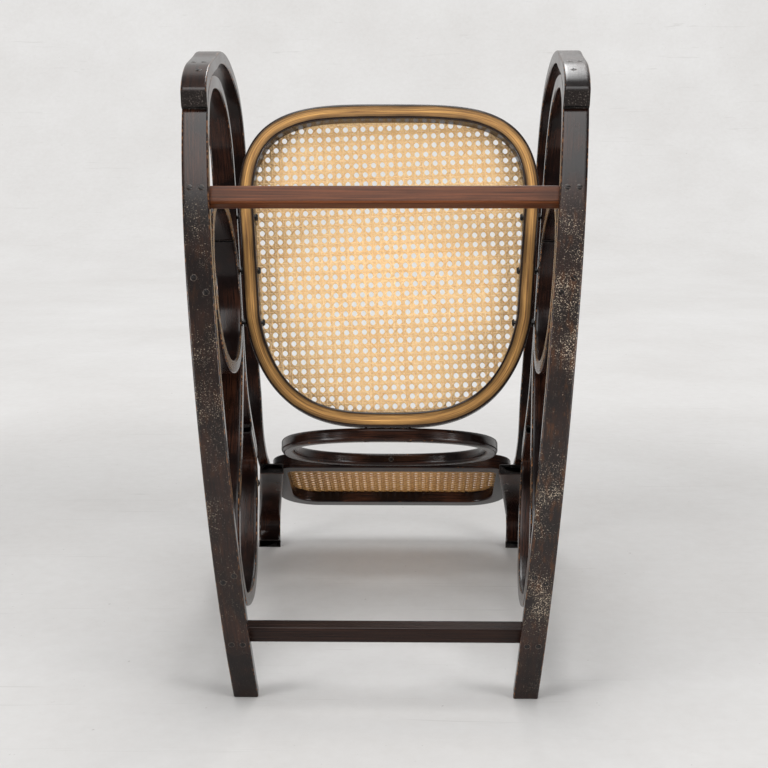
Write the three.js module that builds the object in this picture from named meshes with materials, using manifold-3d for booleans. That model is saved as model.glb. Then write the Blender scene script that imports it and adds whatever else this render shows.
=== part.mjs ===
import * as THREE from "three";
import { mergeVertices } from "three/addons/utils/BufferGeometryUtils.js";
import Module from "manifold-3d";

// Bentwood rocking chair, in millimetres: X is its width, +Y its back and +Z up.
// It is drawn with the lowest point of the rocking arc at the origin, and leaned back at the end
// to the angle at which it comes to rest.

const wasm = await Module();
wasm.setup();

// Clearances and facets
const fitGap = 0.3;
const cutOverrun = 2;
const curveSag = 0.5;
const traceStep = 3;
const screwSides = 6;
const edgeSteps = 1;

// The flat bands that every bent piece of the side frames is made from
const bandWidth = 34;
const bandThickness = 18;
const bandEdge = 2;
const lapBlunt = bandThickness / 3;

// The two side frames, which toe in towards the back and cant outwards as they rise
const sideSpacing = 417;
const toeInShare = 0.0725;
const cantShare = 0.02;
const sideDepth = 906;
const railHeight = 370;
const armHeight = 606;

// Rocking arc, and the quicker rise of the toe in front of it
const rockRadius = 820;
const rockSweep = THREE.MathUtils.degToRad(40.3);
const toeRadius = 455;
const toeSweep = THREE.MathUtils.degToRad(34);
const restTurn = THREE.MathUtils.degToRad(7);

// Each place is a share of the side frame's depth and of the height of the seat rail
const curlShares = [
  [-0.304, 0.292],
  [-0.321, 0.357],
  [-0.336, 0.432],
  [-0.347, 0.527],
  [-0.354, 0.627],
  [-0.357, 0.714],
  [-0.353, 0.800],
  [-0.344, 0.886],
  [-0.329, 0.957],
  [-0.310, 1.005],
  [-0.287, 1.041],
  [-0.256, 1.054],
  [-0.215, 1.051],
  [-0.166, 1.032],
  [-0.073, 0.995],
  [0.012, 0.962],
  [0.055, 0.949],
  [0.099, 0.949],
  [0.132, 0.970],
  [0.163, 1.030],
  [0.193, 1.114],
  [0.213, 1.189],
  [0.226, 1.297],
  [0.235, 1.432],
  [0.245, 1.608],
  [0.267, 1.789],
  [0.308, 2.014],
  [0.348, 2.222],
];

// Where the tail of the rail leaves the plane of its side frame, and how fast it spreads
const spreadStart = 455;
const spreadSoftness = 40;
const spreadShare = 0.12;

// Arm: laps the outside of the toe, then rises past the curl and sweeps back to the post
const armLapStart = -271;
const armLapEnd = -333;
const armShares = [
  [-0.386, 0.388],
  [-0.404, 0.462],
  [-0.419, 0.561],
  [-0.427, 0.667],
  [-0.425, 0.776],
  [-0.416, 0.866],
  [-0.401, 0.927],
  [-0.377, 0.970],
  [-0.344, 0.992],
  [-0.304, 1.000],
  [-0.210, 0.997],
  [-0.110, 0.982],
  [0, 0.959],
  [0.099, 0.947],
  [0.155, 0.964],
  [0.196, 1.000],
];
const armTaperStart = 110;
const armTaperEnd = 205;
const armEndWidth = 16;
const armEndShift = 4;
const armRestLength = 85;
const armSlantLength = 22;
const slantBlunt = 4;

// Front ring, an upright oval between the toe and the seat rail, with its lap at the top
const ringLength = 246;
const ringMiddle = -37;
const ringPower = 2.15;
const ringSteps = 54;
const ringLapEnd = -9;
const ringLapStart = -112;

// Rear loop, in shares of the side frame's depth and of the seat rail's height
const loopLapStart = 2;
const loopLapEnd = 34;
const loopRestStart = 322;
const loopRestEnd = 362;
const loopHugEnd = 158;
const loopHugStart = 199;
const loopFallShares = [
  [0.071, 0.868],
  [0.110, 0.784],
  [0.157, 0.684],
  [0.202, 0.584],
  [0.233, 0.505],
  [0.265, 0.414],
  [0.300, 0.332],
];
const loopRiseShares = [
  [0.423, 0.370],
  [0.432, 0.459],
  [0.434, 0.554],
  [0.428, 0.676],
  [0.406, 0.805],
  [0.366, 0.930],
  [0.320, 1.032],
  [0.281, 1.114],
  [0.262, 1.154],
  [0.245, 1.173],
  [0.233, 1.170],
];

// Back posts, which lean back and spread outwards, with tops curled to the rear
const postWidth = 40;
const postThickness = 18;
const postFootPlace = 243;
const postFootHeight = 650;
const postSetOut = 26;
const postFootSpacing = sideSpacing + postSetOut;
const postSpreadShare = 0.112;
const postLean = THREE.MathUtils.degToRad(20.66);
const postLength = 262;
const postCurlRadius = 32;
const postCurlTurn = THREE.MathUtils.degToRad(160);

// Seat, a rounded frame that slopes down to the back
const seatLength = 485;
const seatFront = -319;
const seatSlopeShare = 0.1;
const rimWidth = 22;
const rimHeight = 32;
const rimEdge = 3;
const seatFrontPower = 3.6;
const seatRearPower = 2.9;
const seatOverWidth = 3;
const seatSpacing = 4;
const seatSteps = 52;

// Cane webs and the splines that hold their edges in a rebate
const rebateWidth = 6;
const rebateDepth = 5;
const caneThickness = 1.6;
const splineWidth = 4.5;
const splineHeight = 2.4;
const seatCanePitch = 36;
const backCanePitch = 36;
const strandWidth = 14;

// Back panel, a rounded frame in front of the posts
const panelSetIn = 31;
const panelWidth = postFootSpacing - panelSetIn;
const panelHeight = 237;
const panelRimWidth = 26;
const panelRimThickness = 25;
const panelEdge = 3;
const panelFootCorner = 40;
const panelHeadCorner = 72;
const panelFootHeight = 674;
const panelScrewRises = [30, 70];
const cornerSteps = 7;

// Oval ring between the seat and the back panel
const ovalWidth = 340;
const ovalBar = 20;
const ovalEdge = 4;
const ovalPower = 2.35;
const ovalSteps = 44;
const ovalScrewPlace = 32;

// Stretchers across the rockers
const stretcherDepth = 25;
const stretcherHeight = 18;
const stretcherEdge = 2;
const frontStretcherPlace = -140;
const rearStretcherPlace = 437;
const stretcherInset = 1.5;

// Wood screws and seat bolts
const screwRadius = 2;
const screwHeadRadius = 4.2;
const screwHeadDepth = 2.4;
const screwPoint = 3;
const screwLength = 31;
const boltRadius = 3;
const boltHeadRadius = 6;
const boltHeadHeight = 3.5;
const boltCrownShare = 0.7;
const boltLength = 48;
const collarRadius = 6.5;

// Where the screws stand along the rocker, and across it as shares of the band's width
const lapScrews = [
  [-334, 0.3],
  [-334, 0.7],
  [-313, 0.38],
];
const ringScrews = [
  [-31, 0.7],
  [-13, 0.28],
];
const loopScrews = [
  [348, 0.25],
  [357, 0.7],
];
const stretcherScrewShares = [0.28, 0.72];
const seatBoltShares = [0.34845361, 0.51546392, 0.67628866];

// Densities, as shares of the density of beech
const woodShare = 1;
const caneShare = 0.8;
const steelShare = 11;

// Materials
const lacquered = new THREE.MeshStandardMaterial({ color: 0x2a1710, roughness: 0.3, metalness: 0 });
const mahogany = new THREE.MeshStandardMaterial({ color: 0x4a2216, roughness: 0.38, metalness: 0 });
const bareRim = new THREE.MeshStandardMaterial({ color: 0x7a5a33, roughness: 0.55, metalness: 0 });
const cane = new THREE.MeshStandardMaterial({ color: 0xd9b27c, roughness: 0.6, metalness: 0 });
const darkSteel = new THREE.MeshStandardMaterial({ color: 0x1d1b1a, roughness: 0.45, metalness: 0.8 });

const densityShares = new Map([
  [cane, caneShare],
  [darkSteel, steelShare],
]);

// Solids

function solidOf(geometry) {
  const bare = geometry.clone();
  bare.deleteAttribute("normal");
  bare.deleteAttribute("uv");
  const merged = mergeVertices(bare, 1e-4);
  const mesh = new wasm.Mesh({
    numProp: 3,
    vertProperties: new Float32Array(merged.attributes.position.array),
    triVerts: new Uint32Array(merged.index.array),
  });
  return new wasm.Manifold(mesh);
}

function geometryOf(solid) {
  const mesh = solid.getMesh();
  const geometry = new THREE.BufferGeometry();
  geometry.setAttribute("position", new THREE.BufferAttribute(new Float32Array(mesh.vertProperties), 3));
  geometry.setIndex(new THREE.BufferAttribute(new Uint32Array(mesh.triVerts), 1));
  return geometry;
}

function cutFrom(geometry, cutters) {
  let solid = solidOf(geometry);
  for (const cutter of cutters) solid = solid.subtract(solidOf(cutter));
  return geometryOf(solid);
}

function mirrored(geometry) {
  const copy = geometry.clone();
  copy.scale(-1, 1, 1);
  const index = Array.from(copy.index.array);
  for (let i = 0; i < index.length; i += 3) [index[i + 1], index[i + 2]] = [index[i + 2], index[i + 1]];
  copy.setIndex(index);
  return copy;
}

// Routes are lists of points in the plane of a side frame, x to the back and y up

const range = (count) => [...Array(count).keys()];

const pointsFromShares = (shares, reach, rise) =>
  shares.map(([along, up]) => new THREE.Vector2(along * reach, up * rise));

function traced(points) {
  const curve = new THREE.CatmullRomCurve3(
    points.map((p) => new THREE.Vector3(p.x, p.y, 0)),
    false,
    "centripetal",
  );
  const count = Math.round(curve.getLength() / traceStep);
  return relaxed(curve.getSpacedPoints(count).map((p) => new THREE.Vector2(p.x, p.y)), 6);
}

// Evens out the bend between neighbouring points, as a band does when it sets on its former
function relaxed(points, passes) {
  let current = points;
  for (let pass = 0; pass < passes; pass += 1) {
    current = current.map((p, i) => {
      if (i === 0 || i === current.length - 1) return p;
      const middle = current[i - 1].clone().add(current[i + 1]).multiplyScalar(0.5);
      return p.clone().lerp(middle, 0.5);
    });
  }
  return current;
}

// Keeps only the points that hold the curve within the given sag
function thinned(points, sag) {
  if (points.length < 3) return points;
  const [first, last] = [points[0], points[points.length - 1]];
  const chord = last.clone().sub(first);
  let farthest = 0;
  let worst = 0;
  points.forEach((p, i) => {
    const away = Math.abs(p.clone().sub(first).cross(chord)) / Math.max(chord.length(), traceStep);
    if (away > worst) [farthest, worst] = [i, away];
  });
  if (worst <= sag) return [first, last];
  const front = thinned(points.slice(0, farthest + 1), sag);
  return front.slice(0, -1).concat(thinned(points.slice(farthest), sag));
}

// Moves each point to the left of the direction of travel, mitred so that edges stay parallel
function offsetBy(route, distance) {
  const mitres = offsetSides(route);
  return route.map((p, i) => p.clone().addScaledVector(mitres[i], distance));
}

// The step to the left at each point that moves both of its neighbouring edges by one
function offsetSides(route) {
  const sides = route.slice(1).map((p, i) => {
    const along = p.clone().sub(route[i]).normalize();
    return new THREE.Vector2(-along.y, along.x);
  });
  return route.map((p, i) => {
    const before = sides[Math.max(i - 1, 0)];
    const after = sides[Math.min(i, sides.length - 1)];
    const mitre = before.clone().add(after).normalize();
    return mitre.divideScalar(mitre.dot(after));
  });
}

const heightOn = (route, along) => {
  for (let i = 1; i < route.length; i += 1) {
    const [a, b] = [route[i - 1], route[i]];
    const between = (a.x - along) * (b.x - along) <= 0 && a.x !== b.x;
    if (between) return a.y + ((along - a.x) / (b.x - a.x)) * (b.y - a.y);
  }
  return NaN;
};

// The part of a route between two places along the frame, with a point at each
function stretch(route, from, to) {
  const [low, high] = [Math.min(from, to), Math.max(from, to)];
  const middle = route.filter((p) => p.x > low + traceStep / 2 && p.x < high - traceStep / 2);
  const forwards = route[0].x < route[route.length - 1].x;
  const [start, end] = forwards ? [low, high] : [high, low];
  const at = (along) => new THREE.Vector2(along, heightOn(route, along));
  return [at(start), ...middle, at(end)];
}

// The route without its first stretch of the given length
function withoutStart(route, length) {
  let rest = length;
  let i = 1;
  while (route[i].distanceTo(route[i - 1]) <= rest) {
    rest -= route[i].distanceTo(route[i - 1]);
    i += 1;
  }
  const start = route[i - 1].clone().lerp(route[i], rest / route[i].distanceTo(route[i - 1]));
  return [start, ...route.slice(i)];
}

// Carries one route over to another through the given points, without touching either
function bridge(lead, points, follow) {
  const route = traced([...lead.slice(-2), ...points, ...follow.slice(0, 2)]);
  const nearest = (target) =>
    route.reduce((best, p, i) => (p.distanceTo(target) < route[best].distanceTo(target) ? i : best), 0);
  const [from, to] = [lead[lead.length - 1], follow[0]];
  const middle = route.slice(nearest(from) + 1, nearest(to));
  return [...lead, ...thinned([from, ...middle, to], curveSag).slice(1, -1), ...follow];
}

// The place on a line of a route, with the unit normal to the right of travel
function normalAt(route, along) {
  const i = route.findIndex((p, k) => k > 0 && (route[k - 1].x - along) * (p.x - along) <= 0);
  const [a, b] = [route[i - 1], route[i]];
  const direction = b.clone().sub(a).normalize();
  return {
    point: new THREE.Vector2(along, heightOn(route, along)),
    normal: new THREE.Vector2(direction.y, -direction.x),
  };
}

// Moves a closed outline inwards, corner by corner
function insetLoop(points, inset) {
  if (inset === 0) return points;
  const closed = [points[points.length - 1], ...points, points[0]];
  return offsetBy(closed, inset).slice(1, -1);
}

function bandShape(route, thickness = bandThickness) {
  const half = thickness / 2;
  return new THREE.Shape([...offsetBy(route, half), ...offsetBy(route, -half).reverse()]);
}

// A band whose start is cut to a slant that ends in a blunt tip on the given side of its route
function slantedShape(route, side, slantLength) {
  const half = bandThickness / 2;
  const full = offsetBy(route, side * half);
  const cut = withoutStart(offsetBy(route, -side * half), slantLength);
  const tip = full[0].clone().lerp(offsetBy(route, 0)[0], slantBlunt / half);
  return new THREE.Shape([...full, ...cut.reverse(), tip]);
}

const slab = (shape, depth) => new THREE.ExtrudeGeometry(shape, { depth, bevelEnabled: false });

function bandSolid(shape, width = bandWidth, edge = bandEdge) {
  return new THREE.ExtrudeGeometry(shape, {
    depth: width - 2 * edge,
    bevelThickness: edge,
    bevelSize: edge,
    bevelOffset: -edge,
    bevelSegments: edgeSteps,
    steps: 1,
    curveSegments: 1,
  }).translate(0, 0, edge);
}

const innerFace = (along, up) => sideSpacing / 2 - toeInShare * along + cantShare * up;

const postOuterFace = (up) => postFootSpacing / 2 + postSpreadShare * (up - postFootHeight);

function tailSpread(along, up) {
  const past = up - spreadStart;
  return (spreadShare * (past + Math.hypot(past, spreadSoftness))) / 2;
}

// Stands a band on its edge in the right-hand side frame: its width runs outwards from the inner face
function inSideFrame(geometry, extra = () => 0, width = () => 1) {
  const position = geometry.attributes.position;
  for (let i = 0; i < position.count; i += 1) {
    const along = position.getX(i);
    const up = position.getY(i);
    const out = position.getZ(i);
    position.setXYZ(i, innerFace(along, up) + extra(along, up) + out * width(along, up), along, up);
  }
  return geometry;
}

// The rocker band: up from the tail, along the ground, round the curl and back as the seat rail
function rockerPoints() {
  const rearArc = rockRadius - bandThickness / 2;
  const toeArc = toeRadius - bandThickness / 2;
  const rearSteps = 12;
  const toeSteps = 6;
  const points = [];
  for (let i = rearSteps; i >= 0; i -= 1) {
    const turn = (rockSweep * i) / rearSteps;
    points.push(new THREE.Vector2(rearArc * Math.sin(turn), rockRadius - rearArc * Math.cos(turn)));
  }
  for (let i = 1; i <= toeSteps; i += 1) {
    const turn = (toeSweep * i) / toeSteps;
    points.push(new THREE.Vector2(-toeArc * Math.sin(turn), toeRadius - toeArc * Math.cos(turn)));
  }
  return points.concat(pointsFromShares(curlShares, sideDepth, railHeight));
}

// The route with one full facet of the rocking arc where the chair comes to rest
function withRestFacet(route) {
  const arc = rockRadius - bandThickness / 2;
  const half = Math.acos(1 - curveSag / rockRadius);
  const [rear, front] = [restTurn + half, restTurn - half].map(
    (turn) => new THREE.Vector2(arc * Math.sin(turn), rockRadius - arc * Math.cos(turn)),
  );
  const before = route.slice(0, route.findIndex((p) => p.x < rear.x + traceStep));
  const after = route.slice(route.findIndex((p) => p.x < front.x - traceStep));
  return [...before, rear, front, ...after];
}

const rockerRoute = withRestFacet(thinned(traced(rockerPoints()), curveSag));
const frontmost = rockerRoute.reduce((best, p, i) => (p.x < rockerRoute[best].x ? i : best), 0);
const groundRun = rockerRoute.slice(0, frontmost + 1);
const railRun = rockerRoute.slice(frontmost);
const groundTop = offsetBy(groundRun, -bandThickness / 2);
const groundEdge = offsetBy(groundRun, bandThickness / 2);
const railUnderside = offsetBy(railRun, -bandThickness / 2);
const lapOffset = bandThickness + fitGap;

// The post: straight up its lean, then an arc over to the rear
function postPoints() {
  const along = new THREE.Vector2(Math.sin(postLean), Math.cos(postLean));
  const foot = new THREE.Vector2(postFootPlace, postFootHeight);
  const points = [foot, foot.clone().addScaledVector(along, postLength)];
  const centre = points[1].clone().add(new THREE.Vector2(along.y, -along.x).multiplyScalar(postCurlRadius));
  const steps = 10;
  for (let i = 1; i <= steps; i += 1) {
    const turn = postLean + (postCurlTurn * i) / steps;
    const spoke = new THREE.Vector2(-Math.cos(turn), Math.sin(turn));
    points.push(centre.clone().addScaledVector(spoke, postCurlRadius));
  }
  return points;
}

const postRoute = postPoints();
const postFront = offsetBy(postRoute, postThickness / 2);

// The arm: over the toe as a lap, free past the curl, and up the front of the post
const armLap = stretch(offsetBy(groundRun, lapOffset), armLapStart, armLapEnd);
const armRestLine = offsetBy(postRoute, (postThickness + bandThickness) / 2 + fitGap);
const armRest = [
  armRestLine[0],
  armRestLine[0].clone().lerp(armRestLine[1], armRestLength / postLength),
];
const armRoute = bridge(armLap, pointsFromShares(armShares, sideDepth, armHeight), armRest);

function armSolid() {
  const share = (along) => THREE.MathUtils.smoothstep(along, armTaperStart, armTaperEnd);
  const shift = (along) => share(along) * armEndShift;
  const shaved = (along) => 1 + share(along) * (armEndWidth / bandWidth - 1);
  return inSideFrame(bandSolid(slantedShape(armRoute, -1, armSlantLength)), shift, shaved);
}

// A closed oval band whose ends overlap in a long scarf, each tapered to a blunt tip
function ringLoop(halfLength, halfHeight, middle) {
  return range(ringSteps).map((i) => {
    const turn = (2 * Math.PI * i) / ringSteps;
    const power = 2 / ringPower;
    const along = Math.sign(Math.sin(turn)) * Math.abs(Math.sin(turn)) ** power;
    const up = Math.sign(Math.cos(turn)) * Math.abs(Math.cos(turn)) ** power;
    return new THREE.Vector2(ringMiddle - halfLength * along, middle + halfHeight * up);
  });
}

function fittedRing() {
  const halfLength = (ringLength - bandThickness) / 2;
  let middle = railHeight / 2;
  let halfHeight = railHeight / 2 - bandThickness;
  for (let pass = 0; pass < 6; pass += 1) {
    const loop = ringLoop(halfLength, halfHeight, middle);
    const outside = offsetBy([...loop, loop[0]], -bandThickness / 2);
    const above = outside.filter((p) => p.y > middle);
    const below = outside.filter((p) => p.y < middle);
    const roof = Math.min(...above.map((p) => heightOn(railUnderside, p.x) - p.y)) - fitGap;
    const floor = Math.min(...below.map((p) => p.y - heightOn(groundTop, p.x))) - fitGap;
    middle += (roof - floor) / 2;
    halfHeight += (roof + floor) / 2;
  }
  return ringLoop(halfLength, halfHeight, middle);
}

function ringSolid() {
  const loop = fittedRing();
  const top = loop.filter((p) => p.y > railHeight / 2);
  const lap = top.filter((p) => p.x > ringLapStart && p.x < ringLapEnd).sort((a, b) => b.x - a.x);
  const rest = loop.filter((p) => !lap.includes(p));
  const start = rest.findIndex((p, i) => p.y > railHeight / 2 && p.x <= ringLapStart);
  const round = [...rest.slice(start), ...rest.slice(0, start)];
  const route = [...lap, ...round, ...lap.map((p) => p.clone())];
  const half = bandThickness / 2;
  const share = (i) => i / (lap.length - 1);
  const taper = (i) => lapBlunt + share(i) * (bandThickness - 2 * lapBlunt - fitGap);
  const closed = offsetSides([...round.slice(-1), ...route, round[0]]);
  const outerAt = route.map((p, i) => (i < lap.length ? -half + taper(i) : half));
  const innerAt = route.map((p, i) => {
    const end = i - lap.length - round.length;
    return end < 0 ? -half : -half + taper(end) + fitGap;
  });
  const place = (i, distance) => route[i].clone().addScaledVector(closed[i + 1], -distance);
  const outside = route.map((p, i) => place(i, outerAt[i]));
  const inside = route.map((p, i) => place(i, innerAt[i]));
  return inSideFrame(bandSolid(new THREE.Shape([...outside, ...inside.reverse()])));
}

// The rear loop: lapped under the seat rail, down to the rocker, round its tip and up under the rail's tail
function loopRoute() {
  const under = offsetBy(railRun, -lapOffset);
  const lap = stretch(under, loopLapStart, loopLapEnd);
  const rest = stretch(offsetBy(groundRun, -lapOffset), loopRestEnd, loopRestStart).reverse();
  const hug = stretch(under, loopHugEnd, loopHugStart).reverse();
  const fall = pointsFromShares(loopFallShares, sideDepth, railHeight);
  const rise = pointsFromShares(loopRiseShares, sideDepth, railHeight);
  return bridge(bridge(lap, fall, rest), rise, hug);
}

// The loop's front tip is scribed to the outside of the ring that stands in front of it
function loopSolid() {
  const band = bandSolid(bandShape(loopRoute()));
  const ringOutside = new THREE.Shape(insetLoop(fittedRing(), -bandThickness / 2 - fitGap));
  const scribe = slab(ringOutside, bandWidth + 2 * cutOverrun);
  return inSideFrame(cutFrom(band, [scribe.translate(0, 0, -cutOverrun)]), tailSpread);
}

// The seat's outline, a squircle whose flanks are planed to the rails, in the plane of the seat
const seatMiddle = seatFront + seatLength / 2;
const seatLean = Math.atan(seatSlopeShare);
const rimMiddleHeight = heightOn(railRun, seatMiddle);

function seatOutline(inset) {
  const points = range(seatSteps).map((i) => {
    const turn = (2 * Math.PI * i) / seatSteps;
    const power = 2 / (Math.sin(turn) < 0 ? seatFrontPower : seatRearPower);
    const along = (seatLength / 2) * Math.sign(Math.sin(turn)) * Math.abs(Math.sin(turn)) ** power;
    const flank = innerFace(seatMiddle + along, rimMiddleHeight) - seatSpacing;
    const across = (flank + seatOverWidth) * Math.sign(Math.cos(turn)) * Math.abs(Math.cos(turn)) ** power;
    return new THREE.Vector2(THREE.MathUtils.clamp(across, -flank, flank), along);
  });
  return insetLoop(points, inset);
}

// Stands a flat solid in the plane of the seat, with its base at a height over the middle of the rim
function inSeat(geometry, height) {
  const lean = new THREE.Matrix4().makeRotationX(-seatLean);
  const lift = new THREE.Matrix4().makeTranslation(0, 0, height);
  const place = new THREE.Matrix4().makeTranslation(0, seatMiddle, rimMiddleHeight);
  return geometry.applyMatrix4(lift).applyMatrix4(lean).applyMatrix4(place);
}

function seatRimSolid() {
  const shape = new THREE.Shape(seatOutline(0));
  shape.holes.push(new THREE.Path(seatOutline(rimWidth)));
  const rim = bandSolid(shape, rimHeight, rimEdge);
  const rebate = slab(new THREE.Shape(seatOutline(rimWidth - rebateWidth)), rebateDepth + cutOverrun);
  rebate.translate(0, 0, rimHeight - rebateDepth);
  return inSeat(cutFrom(rim, [rebate]), -rimHeight / 2);
}

// A cane web: a thin sheet with an even grid of gaps wherever a whole gap fits
function webSolid(outline, pitch, clearEdge) {
  const limit = new THREE.Box2().setFromPoints(outline);
  const size = limit.getSize(new THREE.Vector2());
  const middle = limit.getCenter(new THREE.Vector2());
  const half = (pitch - strandWidth) / 2;
  const columns = Math.floor(size.x / pitch / 2);
  const rows = Math.floor(size.y / pitch / 2);
  const gaps = [];
  for (let row = -rows; row <= rows; row += 1) {
    for (let column = -columns; column <= columns; column += 1) {
      const centre = new THREE.Vector2(middle.x + column * pitch, middle.y + row * pitch);
      const corners = [[-1, -1], [1, -1], [1, 1], [-1, 1]].map(
        ([x, y]) => new THREE.Vector2(centre.x + x * half, centre.y + y * half),
      );
      if (corners.every((corner) => isInside(corner, clearEdge))) gaps.push(new THREE.Shape(corners));
    }
  }
  const sheet = slab(new THREE.Shape(outline), caneThickness);
  const grid = slab(gaps, caneThickness + 2 * cutOverrun);
  return cutFrom(sheet, [grid.translate(0, 0, -cutOverrun)]);
}

function isInside(point, outline) {
  return outline.every((p, i) => {
    const next = outline[(i + 1) % outline.length];
    return next.clone().sub(p).cross(point.clone().sub(p)) >= 0;
  });
}

function splineShape(outlineAt, rimInset) {
  const shape = new THREE.Shape(outlineAt(rimInset - rebateWidth + fitGap));
  shape.holes.push(new THREE.Path(outlineAt(rimInset - rebateWidth + fitGap + splineWidth)));
  return shape;
}

function seatCaneSolid() {
  const edge = seatOutline(rimWidth - rebateWidth + fitGap);
  const web = webSolid(edge, seatCanePitch, seatOutline(rimWidth + strandWidth / 3));
  return inSeat(web, rimHeight / 2 - rebateDepth + fitGap);
}

function seatSplineSolid() {
  const ring = slab(splineShape(seatOutline, rimWidth), splineHeight);
  return inSeat(ring, rimHeight / 2 - rebateDepth + 2 * fitGap + caneThickness);
}

// The back panel's outline, wider rounded at its head, in the plane that lies on the posts
function panelOutline(inset) {
  const half = panelWidth / 2;
  const corners = [
    [half, 0, panelFootCorner],
    [half, panelHeight, panelHeadCorner],
    [-half, panelHeight, panelHeadCorner],
    [-half, 0, panelFootCorner],
  ];
  const path = corners.flatMap(([x, y, radius], i) => {
    const centre = new THREE.Vector2(x - Math.sign(x) * radius, y + (y > 0 ? -radius : radius));
    return range(cornerSteps + 1).map((step) => {
      const turn = ((i - 1) * Math.PI) / 2 + (Math.PI / 2) * (step / cornerSteps);
      return new THREE.Vector2(Math.cos(turn), Math.sin(turn)).multiplyScalar(radius).add(centre);
    });
  });
  return insetLoop(path, inset);
}

const onPanelLine = (height) => {
  const [low, high] = postFront;
  return low.clone().lerp(high, (height - low.y) / (high.y - low.y));
};

// Leans a flat solid back with the panel: its depth runs to the rear from the given distance to the posts
function inPanel(geometry, distance) {
  const rear = new THREE.Vector3(0, Math.cos(postLean), -Math.sin(postLean));
  const up = new THREE.Vector3(0, Math.sin(postLean), Math.cos(postLean));
  const face = onPanelLine(panelFootHeight);
  const turn = new THREE.Matrix4().makeBasis(new THREE.Vector3(-1, 0, 0), up, rear);
  const place = new THREE.Matrix4().makeTranslation(0, face.x, face.y);
  const reach = rear.multiplyScalar(-fitGap - distance);
  const shift = new THREE.Matrix4().makeTranslation(reach.x, reach.y, reach.z);
  return geometry.applyMatrix4(turn).applyMatrix4(shift).applyMatrix4(place);
}

function panelFrameSolid() {
  const shape = new THREE.Shape(panelOutline(0));
  shape.holes.push(new THREE.Path(panelOutline(panelRimWidth)));
  const frame = bandSolid(shape, panelRimThickness, panelEdge);
  const rebate = slab(new THREE.Shape(panelOutline(panelRimWidth - rebateWidth)), rebateDepth + cutOverrun);
  rebate.translate(0, 0, -cutOverrun);
  return inPanel(cutFrom(frame, [rebate]), panelRimThickness);
}

function backCaneSolid() {
  const edge = panelOutline(panelRimWidth - rebateWidth + fitGap);
  const web = webSolid(edge, backCanePitch, panelOutline(panelRimWidth + strandWidth / 3));
  return inPanel(web, panelRimThickness - rebateDepth + fitGap + caneThickness);
}

function backSplineSolid() {
  const ring = slab(splineShape(panelOutline, panelRimWidth), splineHeight);
  return inPanel(ring, panelRimThickness - rebateDepth + 2 * fitGap + caneThickness + splineHeight);
}

// The oval ring stands against the seat's rear edge and reaches up to the panel's foot
function ovalPlace() {
  const seatUp = new THREE.Vector2(Math.sin(seatLean), Math.cos(seatLean));
  const postUp = new THREE.Vector2(Math.sin(postLean), Math.cos(postLean));
  const rearFace = new THREE.Vector2(seatMiddle, rimMiddleHeight)
    .addScaledVector(new THREE.Vector2(seatUp.y, -seatUp.x), seatLength / 2)
    .addScaledVector(seatUp, rimEdge + ovalEdge - rimHeight / 2);
  const panelFoot = onPanelLine(panelFootHeight)
    .add(new THREE.Vector2(-postUp.y, postUp.x).multiplyScalar(fitGap + panelRimThickness / 2));
  const foot = new THREE.Vector2();
  let lean = postLean;
  for (let pass = 0; pass < 4; pass += 1) {
    const up = new THREE.Vector2(Math.sin(lean), Math.cos(lean));
    const rear = new THREE.Vector2(up.y, -up.x);
    foot.copy(rearFace).addScaledVector(up, -ovalEdge).addScaledVector(rear, fitGap + ovalBar / 2);
    lean = Math.atan2(panelFoot.x - foot.x, panelFoot.y - foot.y);
  }
  const room = panelFoot.clone().sub(foot).dot(postUp) - fitGap;
  const turn = postLean - lean;
  const height = (room - (ovalBar / 2 - ovalEdge) * Math.abs(Math.sin(turn))) / Math.cos(turn);
  return { foot, lean, height };
}

function ovalSolid() {
  const { foot, lean, height } = ovalPlace();
  const points = range(ovalSteps).map((i) => {
    const turn = (2 * Math.PI * i) / ovalSteps;
    const power = 2 / ovalPower;
    const across = (ovalWidth / 2) * Math.sign(Math.cos(turn)) * Math.abs(Math.cos(turn)) ** power;
    const up = (height / 2) * Math.sign(Math.sin(turn)) * Math.abs(Math.sin(turn)) ** power;
    return new THREE.Vector2(across, up + height / 2);
  });
  const shape = new THREE.Shape(points);
  shape.holes.push(new THREE.Path(insetLoop(points, ovalBar)));
  const ring = bandSolid(shape, ovalBar, ovalEdge).translate(0, 0, -ovalBar / 2);
  const rear = new THREE.Vector3(0, Math.cos(lean), -Math.sin(lean));
  const up = new THREE.Vector3(0, Math.sin(lean), Math.cos(lean));
  const turn = new THREE.Matrix4().makeBasis(new THREE.Vector3(-1, 0, 0), up, rear);
  return ring.applyMatrix4(turn).translate(0, foot.x, foot.y);
}

// A stretcher lies across both rockers on their upper faces
function stretcherSolid(along) {
  const [front, back] = [-1, 1].map((side) => {
    const place = along + (side * stretcherDepth) / 2;
    return new THREE.Vector2(place, heightOn(groundTop, place));
  });
  const level = back.clone().sub(front).normalize();
  const seat = { point: front.clone().lerp(back, 1 / 2), normal: new THREE.Vector2(-level.y, level.x) };
  const centre = seat.point.clone().addScaledVector(seat.normal, fitGap + stretcherHeight / 2);
  const half = innerFace(centre.x, centre.y) + bandWidth - stretcherInset;
  const section = roundedBox(stretcherDepth, stretcherHeight, stretcherEdge);
  const bar = slab(section, 2 * half).translate(0, 0, -half);
  const turn = new THREE.Matrix4().makeBasis(
    new THREE.Vector3(0, seat.normal.y, -seat.normal.x),
    new THREE.Vector3(0, seat.normal.x, seat.normal.y),
    new THREE.Vector3(1, 0, 0),
  );
  return bar.applyMatrix4(turn).translate(0, centre.x, centre.y);
}

function roundedBox(width, height, edge) {
  const [x, y] = [width / 2, height / 2];
  return new THREE.Shape(
    [
      [x - edge, -y],
      [x, edge - y],
      [x, y - edge],
      [x - edge, y],
      [edge - x, y],
      [-x, y - edge],
      [-x, edge - y],
      [edge - x, -y],
    ].map(([across, up]) => new THREE.Vector2(across, up)),
  );
}

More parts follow.
